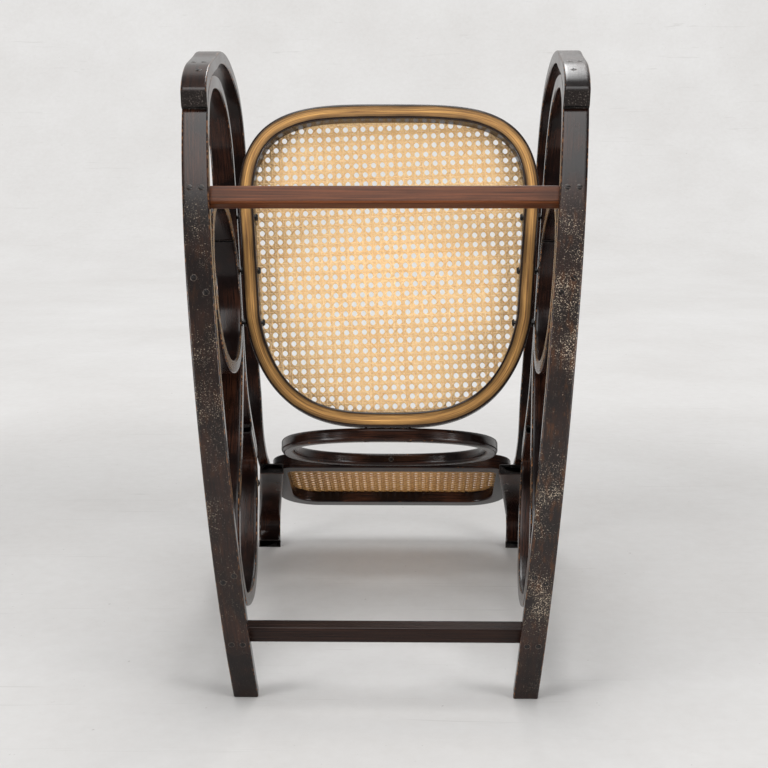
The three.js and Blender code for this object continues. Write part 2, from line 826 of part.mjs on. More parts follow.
// Fasteners: each knows the pieces that it passes through, which are drilled for it

const fasteners = [];

function turned(profile, point, axis) {
  const points = profile.map(([radius, along]) => new THREE.Vector2(radius, along));
  const lathe = new THREE.LatheGeometry(points, screwSides);
  const turn = new THREE.Quaternion().setFromUnitVectors(new THREE.Vector3(0, 1, 0), axis);
  return cutFrom(lathe.applyQuaternion(turn).translate(point.x, point.y, point.z), []);
}

function addScrew(name, point, axis, through) {
  const screw = turned(
    [
      [0, 0],
      [screwHeadRadius, 0],
      [screwRadius, screwHeadDepth],
      [screwRadius, screwLength - screwPoint],
      [0, screwLength],
    ],
    point,
    axis,
  );
  const hole = turned(
    [
      [0, -cutOverrun],
      [screwHeadRadius + fitGap, -cutOverrun],
      [screwHeadRadius + fitGap, 0],
      [screwRadius + fitGap, screwHeadDepth + fitGap],
      [screwRadius + fitGap, screwLength - screwPoint],
      [0, screwLength + 2 * fitGap],
    ],
    point,
    axis,
  );
  fasteners.push({ name, solid: screw, hole, through, paired: point.x !== 0 });
}

// A round-headed bolt along X, with an optional collar that fills the space between two pieces
function addBolt(name, point, axis, through, collar) {
  const ring = collar
    ? [
        [boltRadius, collar.start],
        [collarRadius, collar.start],
        [collarRadius, collar.end],
        [boltRadius, collar.end],
      ]
    : [];
  const profile = [
    [0, -boltHeadHeight],
    [boltHeadRadius * boltCrownShare, -boltHeadHeight],
    [boltHeadRadius, -boltHeadHeight / 3],
    [boltHeadRadius, 0],
    [boltRadius, 0],
    ...ring,
    [boltRadius, boltLength],
    [0, boltLength],
  ];
  const hole = [
    [0, -cutOverrun],
    [boltRadius + fitGap, -cutOverrun],
    [boltRadius + fitGap, boltLength + fitGap],
    [0, boltLength + fitGap],
  ];
  const solid = turned(profile, point, axis);
  fasteners.push({ name, solid, hole: turned(hole, point, axis), through, paired: true });
}

// A screw driven square into a band's face, at a place along its route and a share of its width
function addBandScrew(name, faceLine, along, widthShare, through, spin = 1) {
  const { point, normal } = normalAt(faceLine, along);
  const inward = normal.clone().multiplyScalar(spin);
  const head = point.clone().addScaledVector(inward, fitGap);
  const across = innerFace(head.x, head.y) + tailSpread(head.x, head.y) + bandWidth * widthShare;
  const place = new THREE.Vector3(across, head.x, head.y);
  addScrew(name, place, new THREE.Vector3(0, inward.x, inward.y), through);
}

function addBandScrews(prefix, faceLine, places, through) {
  places.forEach(([along, share], i) => {
    addBandScrew(prefix + "_" + (i + 1), faceLine, along, share, through);
  });
}

function addSideFasteners() {
  const armFace = offsetBy(groundRun, lapOffset + bandThickness / 2);
  addBandScrews("lap_screw", armFace, lapScrews, ["arm", "rocker"]);
  addBandScrews("ring_screw", groundEdge, ringScrews, ["rocker", "front_ring"]);
  addBandScrews("loop_screw", groundEdge, loopScrews, ["rocker", "rear_loop"]);
  const below = (along) => along - normalAt(groundTop, along).normal.x * bandThickness;
  const stretchers = { front_stretcher: frontStretcherPlace, rear_stretcher: rearStretcherPlace };
  for (const [bar, along] of Object.entries(stretchers)) {
    const places = stretcherScrewShares.map((share) => [below(along), share]);
    addBandScrews(bar + "_screw", groundEdge, places, ["rocker", bar]);
  }
  const loopUnder = offsetBy(railRun, -lapOffset - bandThickness / 2);
  const tailPlace = (loopHugStart + loopHugEnd) / 2;
  addBandScrew("loop_tail_screw", loopUnder, tailPlace, 1 / 2, ["rear_loop", "rocker"], -1);
  addSeatBolts();
  addPostFasteners();
}

// How far a convex outline reaches to the right at a place along it
function widthAt(outline, along) {
  const flank = outline.filter((p) => p.x > 0).sort((a, b) => a.y - b.y);
  const next = flank.findIndex((p) => p.y > along);
  const [a, b] = [flank[next - 1], flank[next]];
  return a.x + ((along - a.y) / (b.y - a.y)) * (b.x - a.x);
}

function addSeatBolts() {
  const inner = seatOutline(rimWidth);
  const outer = seatOutline(0);
  seatBoltShares.forEach((share, i) => {
    const along = seatFront + share * seatLength;
    const place = along - seatMiddle;
    const room = [-boltHeadRadius, boltHeadRadius].map((side) => widthAt(inner, place + side));
    const head = Math.min(...room) - fitGap;
    const point = new THREE.Vector3(head, along, heightOn(railRun, along));
    const edge = Math.max(widthAt(outer, place - collarRadius), widthAt(outer, place + collarRadius));
    const collar = {
      start: edge - head + fitGap,
      end: innerFace(along, point.z) - head - fitGap - collarRadius * toeInShare,
    };
    addBolt("seat_bolt_" + (i + 1), point, new THREE.Vector3(1, 0, 0), ["seat_rim", "rocker"], collar);
  });
}

function addPostFasteners() {
  const lean = new THREE.Vector2(Math.sin(postLean), Math.cos(postLean));
  const rear = new THREE.Vector3(0, lean.y, -lean.x);
  const onPost = (distance, toFront, across) => {
    const place = postRoute[0].clone().addScaledVector(lean, distance);
    place.addScaledVector(new THREE.Vector2(-lean.y, lean.x), toFront);
    return new THREE.Vector3(across, place.x, place.y);
  };
  const boltUp = armRestLength;
  const bolt = onPost(boltUp, 0, 0);
  const tail = innerFace(bolt.y, bolt.z) + tailSpread(bolt.y, bolt.z);
  const slope = spreadShare + cantShare;
  const head = tail + bandWidth + fitGap + boltHeadRadius * slope;
  const collar = {
    start: head - tail + fitGap + collarRadius * slope,
    end: head - postOuterFace(bolt.z) - fitGap - collarRadius * postSpreadShare,
  };
  bolt.x = head;
  addBolt("post_bolt", bolt, new THREE.Vector3(-1, 0, 0), ["rocker", "back_post"], collar);

  const armUp = armRestLength / 2;
  const armFront = (postThickness / 2) + bandThickness;
  const armPlace = onPost(armUp, armFront, 0);
  armPlace.x = innerFace(armPlace.y, armPlace.z) + armEndShift + armEndWidth / 2;
  addScrew("arm_end_screw", armPlace, rear, ["arm", "back_post"]);

  panelScrewRises.forEach((rise, i) => {
    const place = onPost((panelFootHeight - postFootHeight) / lean.y + rise, fitGap - postThickness / 2, 0);
    place.x = (panelWidth / 2 + postOuterFace(place.z) - postWidth) / 2;
    addScrew("panel_screw_" + (i + 1), place, rear.clone().negate(), ["back_post", "back_frame"]);
  });

  const oval = ovalPlace();
  const ovalRear = new THREE.Vector3(0, Math.cos(oval.lean), -Math.sin(oval.lean));
  const ovalUp = new THREE.Vector3(0, Math.sin(oval.lean), Math.cos(oval.lean));
  const footScrew = new THREE.Vector3(ovalScrewPlace, oval.foot.x, oval.foot.y)
    .addScaledVector(ovalUp, ovalBar / 2)
    .addScaledVector(ovalRear, ovalBar / 2 - fitGap);
  addScrew("oval_foot_screw", footScrew, ovalRear.clone().negate(), ["oval_ring", "seat_rim"]);
  const headScrew = new THREE.Vector3(0, oval.foot.x, oval.foot.y)
    .addScaledVector(ovalUp, oval.height - ovalBar + fitGap);
  addScrew("oval_head_screw", headScrew, ovalUp, ["oval_ring", "back_frame"]);
}

// Assembly

function mesh(name, geometry, material) {
  const piece = new THREE.Mesh(geometry, material);
  piece.name = name;
  return piece;
}

function sidePieces() {
  return [
    ["rocker", inSideFrame(bandSolid(bandShape(rockerRoute)), tailSpread), lacquered],
    ["arm", armSolid(), lacquered],
    ["front_ring", ringSolid(), lacquered],
    ["rear_loop", loopSolid(), lacquered],
    ["back_post", postSolid(), lacquered],
  ];
}

function postSolid() {
  const geometry = bandSolid(bandShape(postRoute, postThickness), postWidth, bandEdge);
  const position = geometry.attributes.position;
  for (let i = 0; i < position.count; i += 1) {
    const [along, up, out] = [position.getX(i), position.getY(i), position.getZ(i)];
    position.setXYZ(i, postOuterFace(up) - postWidth + out, along, up);
  }
  return geometry;
}

const middlePieces = [
  ["front_stretcher", stretcherSolid(frontStretcherPlace), mahogany],
  ["rear_stretcher", stretcherSolid(rearStretcherPlace), mahogany],
  ["seat_rim", seatRimSolid(), bareRim],
  ["seat_cane", seatCaneSolid(), cane],
  ["seat_spline", seatSplineSolid(), cane],
  ["oval_ring", ovalSolid(), lacquered],
  ["back_frame", panelFrameSolid(), lacquered],
  ["back_cane", backCaneSolid(), cane],
  ["back_spline", backSplineSolid(), cane],
];

addSideFasteners();

const chair = new THREE.Group();
const fastenersIn = (name) => fasteners.filter((one) => one.through.includes(name));

for (const [name, geometry, material] of sidePieces()) {
  const drilled = cutFrom(geometry, fastenersIn(name).map((one) => one.hole));
  chair.add(mesh("right_" + name, drilled, material));
  chair.add(mesh("left_" + name, mirrored(drilled), material));
}

for (const { name, solid, paired } of fasteners) {
  chair.add(mesh(paired ? "right_" + name : name, solid, darkSteel));
  if (paired) chair.add(mesh("left_" + name, mirrored(solid), darkSteel));
}

for (const [name, geometry, material] of middlePieces) {
  const holes = fastenersIn(name).flatMap(({ hole, paired }) => (paired ? [hole, mirrored(hole)] : [hole]));
  chair.add(mesh(name, cutFrom(geometry, holes), material));
}

function centreOfMass() {
  const moment = new THREE.Vector3();
  let total = 0;
  const corner = [new THREE.Vector3(), new THREE.Vector3(), new THREE.Vector3()];
  for (const piece of chair.children) {
    const share = densityShares.get(piece.material) ?? woodShare;
    const { index, attributes } = piece.geometry;
    for (let i = 0; i < index.count; i += 3) {
      corner.forEach((p, k) => p.fromBufferAttribute(attributes.position, index.getX(i + k)));
      const volume = (share * corner[0].dot(corner[1].clone().cross(corner[2]))) / 6;
      moment.addScaledVector(corner[0].clone().add(corner[1]).add(corner[2]), volume / 4);
      total += volume;
    }
  }
  return moment.divideScalar(total);
}

// The chair leans until the facet of the rocking arc that is most squarely under its weight lies flat
function restLean() {
  const centre = centreOfMass();
  const arc = groundEdge.filter((p) => p.x > 0);
  const facets = arc.slice(1).map((front, i) => {
    const along = arc[i].clone().sub(front).normalize();
    const middle = arc[i].clone().lerp(front, 1 / 2);
    const aside = new THREE.Vector2(centre.y, centre.z).sub(middle).dot(along);
    return { aside: Math.abs(aside), lean: Math.atan2(along.y, along.x) };
  });
  return facets.sort((a, b) => a.aside - b.aside)[0].lean;
}

chair.rotation.x = -restLean();
chair.updateMatrixWorld(true);
const extent = new THREE.Box3().setFromObject(chair, true);
const middle = extent.getCenter(new THREE.Vector3());
chair.position.set(-middle.x, -middle.y, -extent.min.z);

export default chair;
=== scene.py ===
"""Looks of a bentwood rocking chair with a cane seat and back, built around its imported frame.

Sizes are in millimetres, in the frame in which the chair was drawn: X is its width, Y runs to its
back and Z up, with the lowest point of the rocking arc at the origin. placed() leans the finished
points back to the angle of rest and turns them into metres. In the photograph the chair lies on
its back, so the camera looks up from under its rockers and the floor stands behind it.
"""

import math

import bpy
import numpy as np
from mathutils import Matrix, Vector


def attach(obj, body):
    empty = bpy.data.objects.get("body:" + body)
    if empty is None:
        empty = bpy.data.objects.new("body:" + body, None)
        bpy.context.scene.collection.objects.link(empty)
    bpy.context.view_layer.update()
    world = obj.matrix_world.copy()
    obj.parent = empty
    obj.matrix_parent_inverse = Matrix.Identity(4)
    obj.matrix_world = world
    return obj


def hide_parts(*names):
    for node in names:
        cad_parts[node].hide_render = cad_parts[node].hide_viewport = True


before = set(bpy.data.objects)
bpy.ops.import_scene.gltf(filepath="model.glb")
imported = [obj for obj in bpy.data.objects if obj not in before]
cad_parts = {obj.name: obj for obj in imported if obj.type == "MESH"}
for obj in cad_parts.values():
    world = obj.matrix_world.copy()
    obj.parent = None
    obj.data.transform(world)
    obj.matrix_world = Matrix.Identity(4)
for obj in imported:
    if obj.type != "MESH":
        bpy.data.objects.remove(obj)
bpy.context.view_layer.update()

MM = 0.001
# Distance between stations along a piece, and clearance where two pieces meet
STEP = 3.0
FIT = 0.3
# Depth to which end grain shows from an end, and shares that place stations near an end and on
# the flats of a section
END_GRAIN = 0.6
END_SHARES = np.array([0.0, 0.15, 0.5])
FLAT_SHARES = np.array([[0.08], [0.5], [0.92]])
SQUARE = np.array([(0, 0), (1, 0), (1, 1), (0, 1)])

# Angle of rest, and where it brings the origin of the drawing
REST_LEAN = math.radians(7.0)
REST_SHIFT = np.array([0.0, -102.519, 5.618])

# The bent bands, and the two side frames that they make
BAND_WIDTH = 34.0
BAND = 18.0
BAND_EDGE = 2.6
LAP = BAND + FIT
SIDE_SPACING = 417.0
TOE_IN = 0.0725
CANT = 0.02
SIDE_DEPTH = 906.0
RAIL_HEIGHT = 370.0
ARM_HEIGHT = 606.0
SPREAD_START = 455.0
SPREAD_SOFTNESS = 40.0
SPREAD = 0.12

# Rocking arc and toe
ROCK_RADIUS = 820.0
ROCK_SWEEP = math.radians(40.3)
TOE_RADIUS = 455.0
TOE_SWEEP = math.radians(34.0)

# Places along the bands, as shares of the frame's depth and of the rail's or the arm's height
CURL = [
    (-0.304, 0.292), (-0.321, 0.357), (-0.336, 0.432), (-0.347, 0.527), (-0.354, 0.627),
    (-0.357, 0.714), (-0.353, 0.800), (-0.344, 0.886), (-0.329, 0.957), (-0.310, 1.005),
    (-0.287, 1.041), (-0.256, 1.054), (-0.215, 1.051), (-0.166, 1.032), (-0.073, 0.995),
    (0.012, 0.962), (0.055, 0.949), (0.099, 0.949), (0.132, 0.970), (0.163, 1.030),
    (0.193, 1.114), (0.213, 1.189), (0.226, 1.297), (0.235, 1.432), (0.245, 1.608),
    (0.267, 1.789), (0.308, 2.014), (0.348, 2.222),
]
ARM = [
    (-0.386, 0.388), (-0.404, 0.462), (-0.419, 0.561), (-0.427, 0.667), (-0.425, 0.776),
    (-0.416, 0.866), (-0.401, 0.927), (-0.377, 0.970), (-0.344, 0.992), (-0.304, 1.000),
    (-0.210, 0.997), (-0.110, 0.982), (0.0, 0.959), (0.099, 0.947), (0.155, 0.964), (0.196, 1.000),
]
ARM_LAP = (-259.0, -322.0)
ARM_REST = 85.0
ARM_SLANT = 19.0
ARM_BLUNT = 5.0
ARM_TAPER = (110.0, 205.0)
ARM_END_WIDTH = 16.0
ARM_END_SHIFT = 4.0
LOOP_FALL = [
    (0.071, 0.868), (0.110, 0.784), (0.157, 0.684), (0.202, 0.584), (0.233, 0.505),
    (0.265, 0.414), (0.300, 0.332),
]
LOOP_RISE = [
    (0.423, 0.370), (0.432, 0.459), (0.434, 0.554), (0.428, 0.676), (0.406, 0.805),
    (0.366, 0.930), (0.320, 1.032), (0.281, 1.114), (0.262, 1.154), (0.245, 1.173), (0.233, 1.170),
]
LOOP_LAP = (2.0, 34.0)
LOOP_REST = (322.0, 362.0)
LOOP_HUG = (158.0, 199.0)
LOOP_SCRIBE = 60.0
LOOP_TIP = 0.8

# Front ring, an upright oval with its scarf at the top
RING_LENGTH = 246.0
RING_MIDDLE = -37.0
RING_POWER = 2.15
RING_LAP = (-9.0, -112.0)
RING_ROOF = (-200.0, 150.0)
SCARF_BLUNT = BAND / 3

# Back posts
POST_WIDTH = 40.0
POST_FOOT = np.array([243.0, 650.0])
POST_SPACING = 443.0
POST_SPREAD = 0.112
POST_LEAN = math.radians(20.66)
POST_LENGTH = 262.0
POST_CURL = 32.0
POST_TURN = math.radians(160.0)

# Seat rim and the rebate that takes the cane
SEAT_LENGTH = 485.0
SEAT_FRONT = -319.0
SEAT_LEAN = math.atan(0.1)
SEAT_RAIL = (-200.0, 100.0)
RIM_WIDTH = 22.0
RIM_HEIGHT = 32.0
RIM_EDGE = 4.0
SEAT_POWERS = (3.6, 2.9)
SEAT_OVER = 3.0
SEAT_SPACING = 4.0
REBATE = (6.0, 5.0)
SPLINE = (4.5, 2.4)
SPLINE_EDGE = 1.0
CANE_THICKNESS = 1.6
# The rim is bare underneath: how far up its edges, and from and to what distance off them
BARE_EDGE = 2.2
BARE_FROM = (1.2, 7.0)

# Back panel
PANEL = (412.0, 237.0)
PANEL_RIM = (26.0, 25.0)
PANEL_EDGE = 5.0
PANEL_CORNERS = (40.0, 72.0)
PANEL_FOOT = 674.0

# Share of the edge wear on the panel and the oval, which nobody steps on or rolls over
HIGH_WEAR = 0.8

# Oval ring
OVAL_WIDTH = 340.0
OVAL_BAR = 20.0
OVAL_EDGE = 5.0
OVAL_CHAMFER = 4.0
OVAL_POWER = 2.35
OVAL_RISE = 3.0

# Stretchers
STRETCHER = (25.0, 18.0)
STRETCHER_EDGE = 2.4
STRETCHER_PLACES = {"front_stretcher": -140.0, "rear_stretcher": 437.0}
STRETCHER_INSET = 1.5
STRETCHER_END = 1.2

# Woven cane: half-inch web, pulled in slightly askew on the seat and square on the panel
SEAT_WEB = dict(row=(13.27, -0.49), column=(0.78, 14.05), start=(-84.26, -54.94))
PANEL_WEB = dict(row=(13.27, 0.0), column=(0.0, 14.0), start=(3.0, 5.0))
# Widths of a strand and of a binder, and the thickness of both, on the seat and on the panel
SEAT_STRANDS = (2.85, 2.3, 0.8)
PANEL_STRANDS = (3.9, 3.3, 1.5)
STRAND_GAP = 0.25
# How far strands and binders rise and fall as they weave
STRAND_SWING = 0.4
BINDER_SWING = 2.2 * STRAND_SWING
STRAND_PROFILE = np.array(
    [[-0.5, 0.25], [-0.28, 0.5], [0.0, 0.58], [0.28, 0.5], [0.5, 0.25], [0.42, -0.4], [-0.42, -0.4]]
)
# Beta distribution of the strands' tones, and the shift of the grain from one strand to the next
TONE_SPREAD = (1.6, 2.4)
GRAIN_SHIFT = 0.37

# Screws: how far a head stands proud, then the rings of its face, its dome and its slot, as shares
# of its radius
PROUD = 0.6
FACE_SHARES = np.array([0.02, 0.15, 0.24, 0.32, 0.45, 0.6, 0.75, 0.86, 0.94, 1.0])
HEAD_SIDES = 40
HEAD_DOME = 0.12
SLOT_DEPTH = 0.3
SLOT_EDGE = (0.1, 0.17)
SLOT_END = 0.97

# How much of the wear from the floor each rocker has, by side
FLOOR_WEAR = {1: 1.0, -1: 0.72}
# Where the wear starts and fades out along a rocker, its share on the tail, and its greatest height
WEAR_START = (-190, -90)
WEAR_END = (380, 500)
TAIL_WEAR = 0.5
WEAR_HEIGHT = 430
# How far in from the outer face the band's edges are still worn
WORN_FLAT = 2.5

rng = np.random.default_rng(7)


# Curves, as arrays of points (along, up) in the plane of a side frame


def unit(vector):
    return vector / np.linalg.norm(vector)


def leaning(angle):
    """Two unit vectors: up along a line that leans back by this angle, and square to it, rearwards."""
    return np.array([math.sin(angle), math.cos(angle)]), np.array([math.cos(angle), -math.sin(angle)])


def travelled(points):
    """Distance along a polyline at each of its points: the running sum of its steps."""
    return np.concatenate([[0.0], np.cumsum(np.linalg.norm(np.diff(points, axis=0), axis=1))])


def spaced(points, step=STEP):
    """Points at even steps along a polyline, by linear interpolation over its arc length."""
    along = travelled(points)
    at = np.linspace(0, along[-1], max(int(round(along[-1] / step)), 2) + 1)
    return np.stack([np.interp(at, along, column) for column in np.asarray(points).T], axis=1)


def relaxed(points, passes=6):
    """Each pass moves every inner point half way to the middle of its two neighbours."""
    for _ in range(passes):
        points = points.copy()
        points[1:-1] = (points[1:-1] + (points[:-2] + points[2:]) / 2) / 2
    return points


def curve_through(points, samples=24):
    """Centripetal Catmull-Rom curve: knots lie the square root of the chord apart, and between two
    points the curve blends the straight lines through the four nearest, weighted by knot distance."""
    p = np.asarray(points, float)
    p = np.vstack([2 * p[0] - p[1], p, 2 * p[-1] - p[-2]])
    knot = np.concatenate([[0.0], np.cumsum(np.linalg.norm(np.diff(p, axis=0), axis=1) ** 0.5)])
    t0, t1, t2, t3 = (knot[k : len(knot) - 3 + k] for k in range(4))
    p0, p1, p2, p3 = (p[k : len(p) - 3 + k] for k in range(4))
    t = t1 + (t2 - t1) * np.linspace(0, 1, samples, endpoint=False)[:, None]

    def mix(a, b, ta, tb):
        return ((tb - t)[..., None] * a + (t - ta)[..., None] * b) / (tb - ta)[..., None]

    a1, a2, a3 = mix(p0, p1, t0, t1), mix(p1, p2, t1, t2), mix(p2, p3, t2, t3)
    curve = mix(mix(a1, a2, t0, t2), mix(a2, a3, t1, t3), t1, t2)
    return relaxed(spaced(np.vstack([curve.transpose(1, 0, 2).reshape(-1, 2), p[-2]])))


def left_of(route, closed=False):
    """Unit normals to the left of travel, from the difference between each point's neighbours."""
    if closed:
        along = np.roll(route, -1, axis=0) - np.roll(route, 1, axis=0)
    else:
        along = np.gradient(route, axis=0)
    along /= np.linalg.norm(along, axis=1, keepdims=True)
    return np.stack([-along[:, 1], along[:, 0]], axis=1)


def offset(route, distance):
    return route + left_of(route) * distance


def between(route, low, high):
    return route[(route[:, 0] >= low) & (route[:, 0] <= high)]


def shares(table, height):
    return np.array(table) * [SIDE_DEPTH, height]


def superellipse(half_width, half_height, power, count):
    """|x/a|^n + |y/b|^n = 1, drawn by angle with sines and cosines raised to 2/n."""
    turn = np.linspace(0, 2 * np.pi, count, endpoint=False)
    x, y = np.cos(turn), np.sin(turn)
    round_to = 2 / power
    return np.stack(
        [half_width * np.sign(x) * abs(x) ** round_to, half_height * np.sign(y) * abs(y) ** round_to],
        axis=1,
    )


def rocker_route():
    """Up to the tail on the rocking arc, down along the toe arc, then round the curl and the rail."""
    rear, toe = ROCK_RADIUS - BAND / 2, TOE_RADIUS - BAND / 2
    back = np.linspace(ROCK_SWEEP, 0, 13)[:, None]
    front = np.linspace(0, TOE_SWEEP, 7)[1:, None]
    arcs = np.vstack(
        [
            np.hstack([rear * np.sin(back), ROCK_RADIUS - rear * np.cos(back)]),
            np.hstack([-toe * np.sin(front), TOE_RADIUS - toe * np.cos(front)]),
        ]
    )
    return curve_through(np.vstack([arcs, shares(CURL, RAIL_HEIGHT)]))


def post_route():
    """A straight leaning line, then an arc that turns over to the rear."""
    head = POST_FOOT + POST_UP * POST_LENGTH
    centre = head + POST_REAR * POST_CURL
    turn = POST_LEAN + np.linspace(0, POST_TURN, 40)[1:]
    arc = centre + POST_CURL * np.stack([-np.cos(turn), np.sin(turn)], axis=1)
    return spaced(np.vstack([POST_FOOT, head, arc]))


POST_UP, POST_REAR = leaning(POST_LEAN)
ROCKER = rocker_route()
FRONTMOST = int(np.argmin(ROCKER[:, 0]))
GROUND, RAIL = ROCKER[: FRONTMOST + 1], ROCKER[FRONTMOST:]
GROUND_TOP = offset(GROUND, -BAND / 2)
RAIL_UNDERSIDE = offset(RAIL, -BAND / 2)
POST = post_route()


def height_on(route, along):
    """Height of a route that runs one way along the frame, by linear interpolation."""
    order = np.argsort(route[:, 0])
    return np.interp(along, route[order, 0], route[order, 1])


def arm_route():
    """Over the toe as a lap, through the arm's places, and up the front of the post."""
    lap = between(offset(GROUND, LAP), ARM_LAP[1], ARM_LAP[0])[::4]
    rest = POST_FOOT - POST_REAR * LAP + POST_UP * np.linspace(0, ARM_REST, 5)[:, None]
    return curve_through(np.vstack([lap, shares(ARM, ARM_HEIGHT), rest]))


def loop_route():
    """From its lap under the rail down to the rocker, along it, and up to hug the rail's tail."""
    under = offset(RAIL, -LAP)
    lap = between(under, *LOOP_LAP)[::3]
    rest = between(offset(GROUND, -LAP), *LOOP_REST)[::-4]
    hug = between(under, *LOOP_HUG)[::-4]
    fall, rise = shares(LOOP_FALL, RAIL_HEIGHT), shares(LOOP_RISE, RAIL_HEIGHT)
    return curve_through(np.vstack([lap, fall, rest, rise, hug]))


def ring_loop(count=360):
    """The ring's middle line, an oval that fills the height between the rocker and the rail."""
    half_length = (RING_LENGTH - BAND) / 2
    middle, half_height = RAIL_HEIGHT / 2, RAIL_HEIGHT / 2 - BAND
    for _ in range(6):
        loop = superellipse(half_length, half_height, RING_POWER, count) + [RING_MIDDLE, middle]
        outside = loop - left_of(loop, True) * BAND / 2
        above, below = outside[outside[:, 1] > middle], outside[outside[:, 1] < middle]
        roof = np.min(height_on(between(RAIL_UNDERSIDE, *RING_ROOF), above[:, 0]) - above[:, 1]) - FIT
        floor = np.min(below[:, 1] - height_on(GROUND_TOP, below[:, 0])) - FIT
        middle += (roof - floor) / 2
        half_height += (roof + floor) / 2
    return superellipse(half_length, half_height, RING_POWER, count) + [RING_MIDDLE, middle]


def ring_route():
    """Once round the oval, from the rear end of the scarf to its front end and on over it again."""
    loop = ring_loop()
    top = loop[:, 1] > RAIL_HEIGHT / 2
    start = np.argmax(top & (loop[:, 0] <= RING_LAP[0]))
    turned = np.roll(loop, -start, axis=0)
    scarf = int(np.argmax(turned[:, 0] < RING_LAP[1]))
    return np.vstack([turned, turned[:scarf]]), scarf


# Sections and surfaces


def rounded_section(corners, radius, arc=5):
    """A closed outline whose right-angled corners become quarter circles. Each quarter lies round
    the point one radius in from both sides. The second array is 1 on the arcs and 0 on the flats."""
    points, edge = [], []
    corners = np.array(corners, float)
    turn = np.linspace(0, np.pi / 2, arc)[:, None]
    for i, corner in enumerate(corners):
        before = corners[i - 1] - corner
        after = corners[(i + 1) % len(corners)] - corner
        u, v = unit(before), unit(after)
        points.append(corner + radius * (u + v) - radius * (v * np.cos(turn) + u * np.sin(turn)))
        edge.append(np.sin(2 * turn[:, 0]) ** 0.5)
        start, end = corner + radius * v, corners[(i + 1) % len(corners)] - radius * v
        points.append(start + (end - start) * FLAT_SHARES)
        edge.append(np.zeros(len(FLAT_SHARES)))
    return np.vstack(points), np.concatenate(edge)


def placed(points):
    """Leans points of the drawing back about X to the angle of rest, and turns them into metres."""
    c, s = math.cos(REST_LEAN), math.sin(REST_LEAN)
    x, y, z = points[..., 0], points[..., 1], points[..., 2]
    return (np.stack([x, y * c + z * s, z * c - y * s], axis=-1) + REST_SHIFT) * MM


def grid_faces(rows, columns, closed_rows):
    """Four corners for each cell of a grid whose columns wrap round, and whose rows may."""
    i = np.arange(rows if closed_rows else rows - 1)[:, None]
    j = np.arange(columns)[None, :]
    down, right = (i + 1) % rows, (j + 1) % columns
    cells = [i * columns + j, down * columns + j, down * columns + right, i * columns + right]
    return np.stack([np.broadcast_to(c, (len(i), columns)) for c in cells], axis=-1).reshape(-1, 4)


def outwards(points, faces):
    """Whether four-cornered faces point outwards: the volume that they enclose, a sum of triple
    products over their two halves, comes out positive."""
    a, b, c, d = (points[faces[:, k]] for k in range(4))
    volume = np.sum(np.cross(b - a, c - a) * a) + np.sum(np.cross(c - a, d - a) * a)
    return volume > 0


def cell_corners(along, around, u, v):
    """UV places of the four corners of the cells in rows u and columns v."""
    corners = along[np.stack([u, u + 1, u + 1, u], 1)], around[np.stack([v, v, v + 1, v + 1], 1)]
    return np.stack(corners, -1)


def skin(name, points, along, around, marks, material, closed=False):
    """A closed skin over a grid of stations: its columns wrap round the section, and its rows
    either close on themselves or end in a flat cap. Its UV map runs in metres, along and around."""
    rows, columns = points.shape[:2]
    flat = points.reshape(-1, 3)
    faces = grid_faces(rows, columns, closed)
    u = np.repeat(np.arange(rows if closed else rows - 1), columns)
    v = np.tile(np.arange(columns), len(u) // columns)
    uv = cell_corners(along, around, u, v)
    first, last = np.arange(columns)[::-1], np.arange(columns) + (rows - 1) * columns
    if not outwards(flat, faces):
        faces, uv = faces[:, ::-1], uv[:, ::-1]
        first, last = first[::-1], last[::-1]
    caps = [] if closed else [first, last]
    mesh = bpy.data.meshes.new(name)
    mesh.from_pydata(flat.tolist(), [], faces.tolist() + [cap.tolist() for cap in caps])
    layer = mesh.uv_layers.new(name="grain")
    cap_uv = [np.stack([around[cap % columns], np.zeros(len(cap))], 1) for cap in caps]
    layer.data.foreach_set("uv", np.concatenate([uv.reshape(-1, 2), *cap_uv]).ravel())
    for mark, values in marks.items():
        attribute = mesh.attributes.new(mark, "FLOAT", "POINT")
        attribute.data.foreach_set("value", np.broadcast_to(values, (rows, columns)).ravel())
    mesh.shade_smooth()
    mesh.validate()
    return piece_of(name, mesh, material)


def piece_of(name, mesh, material):
    piece = bpy.data.objects.new(name, mesh)
    bpy.context.collection.objects.link(piece)
    piece.data.materials.append(material)
    return piece


def perimeter(section):
    """Distance round a closed section or outline at each point, and at its end, in metres."""
    return travelled(np.vstack([section, section[:1]])) * MM


def stations(route, edge):
    """Resamples a route with extra stations at both ends, and gives for each the distance along it
    and how far its section draws in, so that each end is rounded by a quarter circle."""
    length = travelled(route)
    near = edge * END_SHARES
    middle = np.linspace(edge, length[-1] - edge, int(length[-1] / STEP))
    at = np.concatenate([near, middle, length[-1] - near[::-1]])
    to_end = np.clip(np.minimum(at, length[-1] - at), 0, edge)
    drawn_in = edge - np.sqrt(edge**2 - (edge - to_end) ** 2)
    points = np.stack([np.interp(at, length, column) for column in route.T], axis=1)
    return points, at, drawn_in


def inner_face(along, up):
    return SIDE_SPACING / 2 - TOE_IN * along + CANT * up


def tail_spread(along, up):
    past = up - SPREAD_START
    return SPREAD * (past + np.hypot(past, SPREAD_SOFTNESS)) / 2


def post_inner(along, up):
    return POST_SPACING / 2 + POST_SPREAD * (up - POST_FOOT[1]) - POST_WIDTH


def smoothstep(value, low, high):
    t = np.clip((value - low) / (high - low), 0, 1)
    return t * t * (3 - 2 * t)


def both_faces(at, route):
    """A band of even thickness and width: its low face, its high face and its share of width."""
    return -BAND / 2, BAND / 2, 1.0


def end_grain(at, route, section):
    """Marks the two ends of a band, where end grain shows."""
    return {"tip": np.clip(1 - np.minimum(at, at[-1] - at) / END_GRAIN, 0, 1)[:, None]}


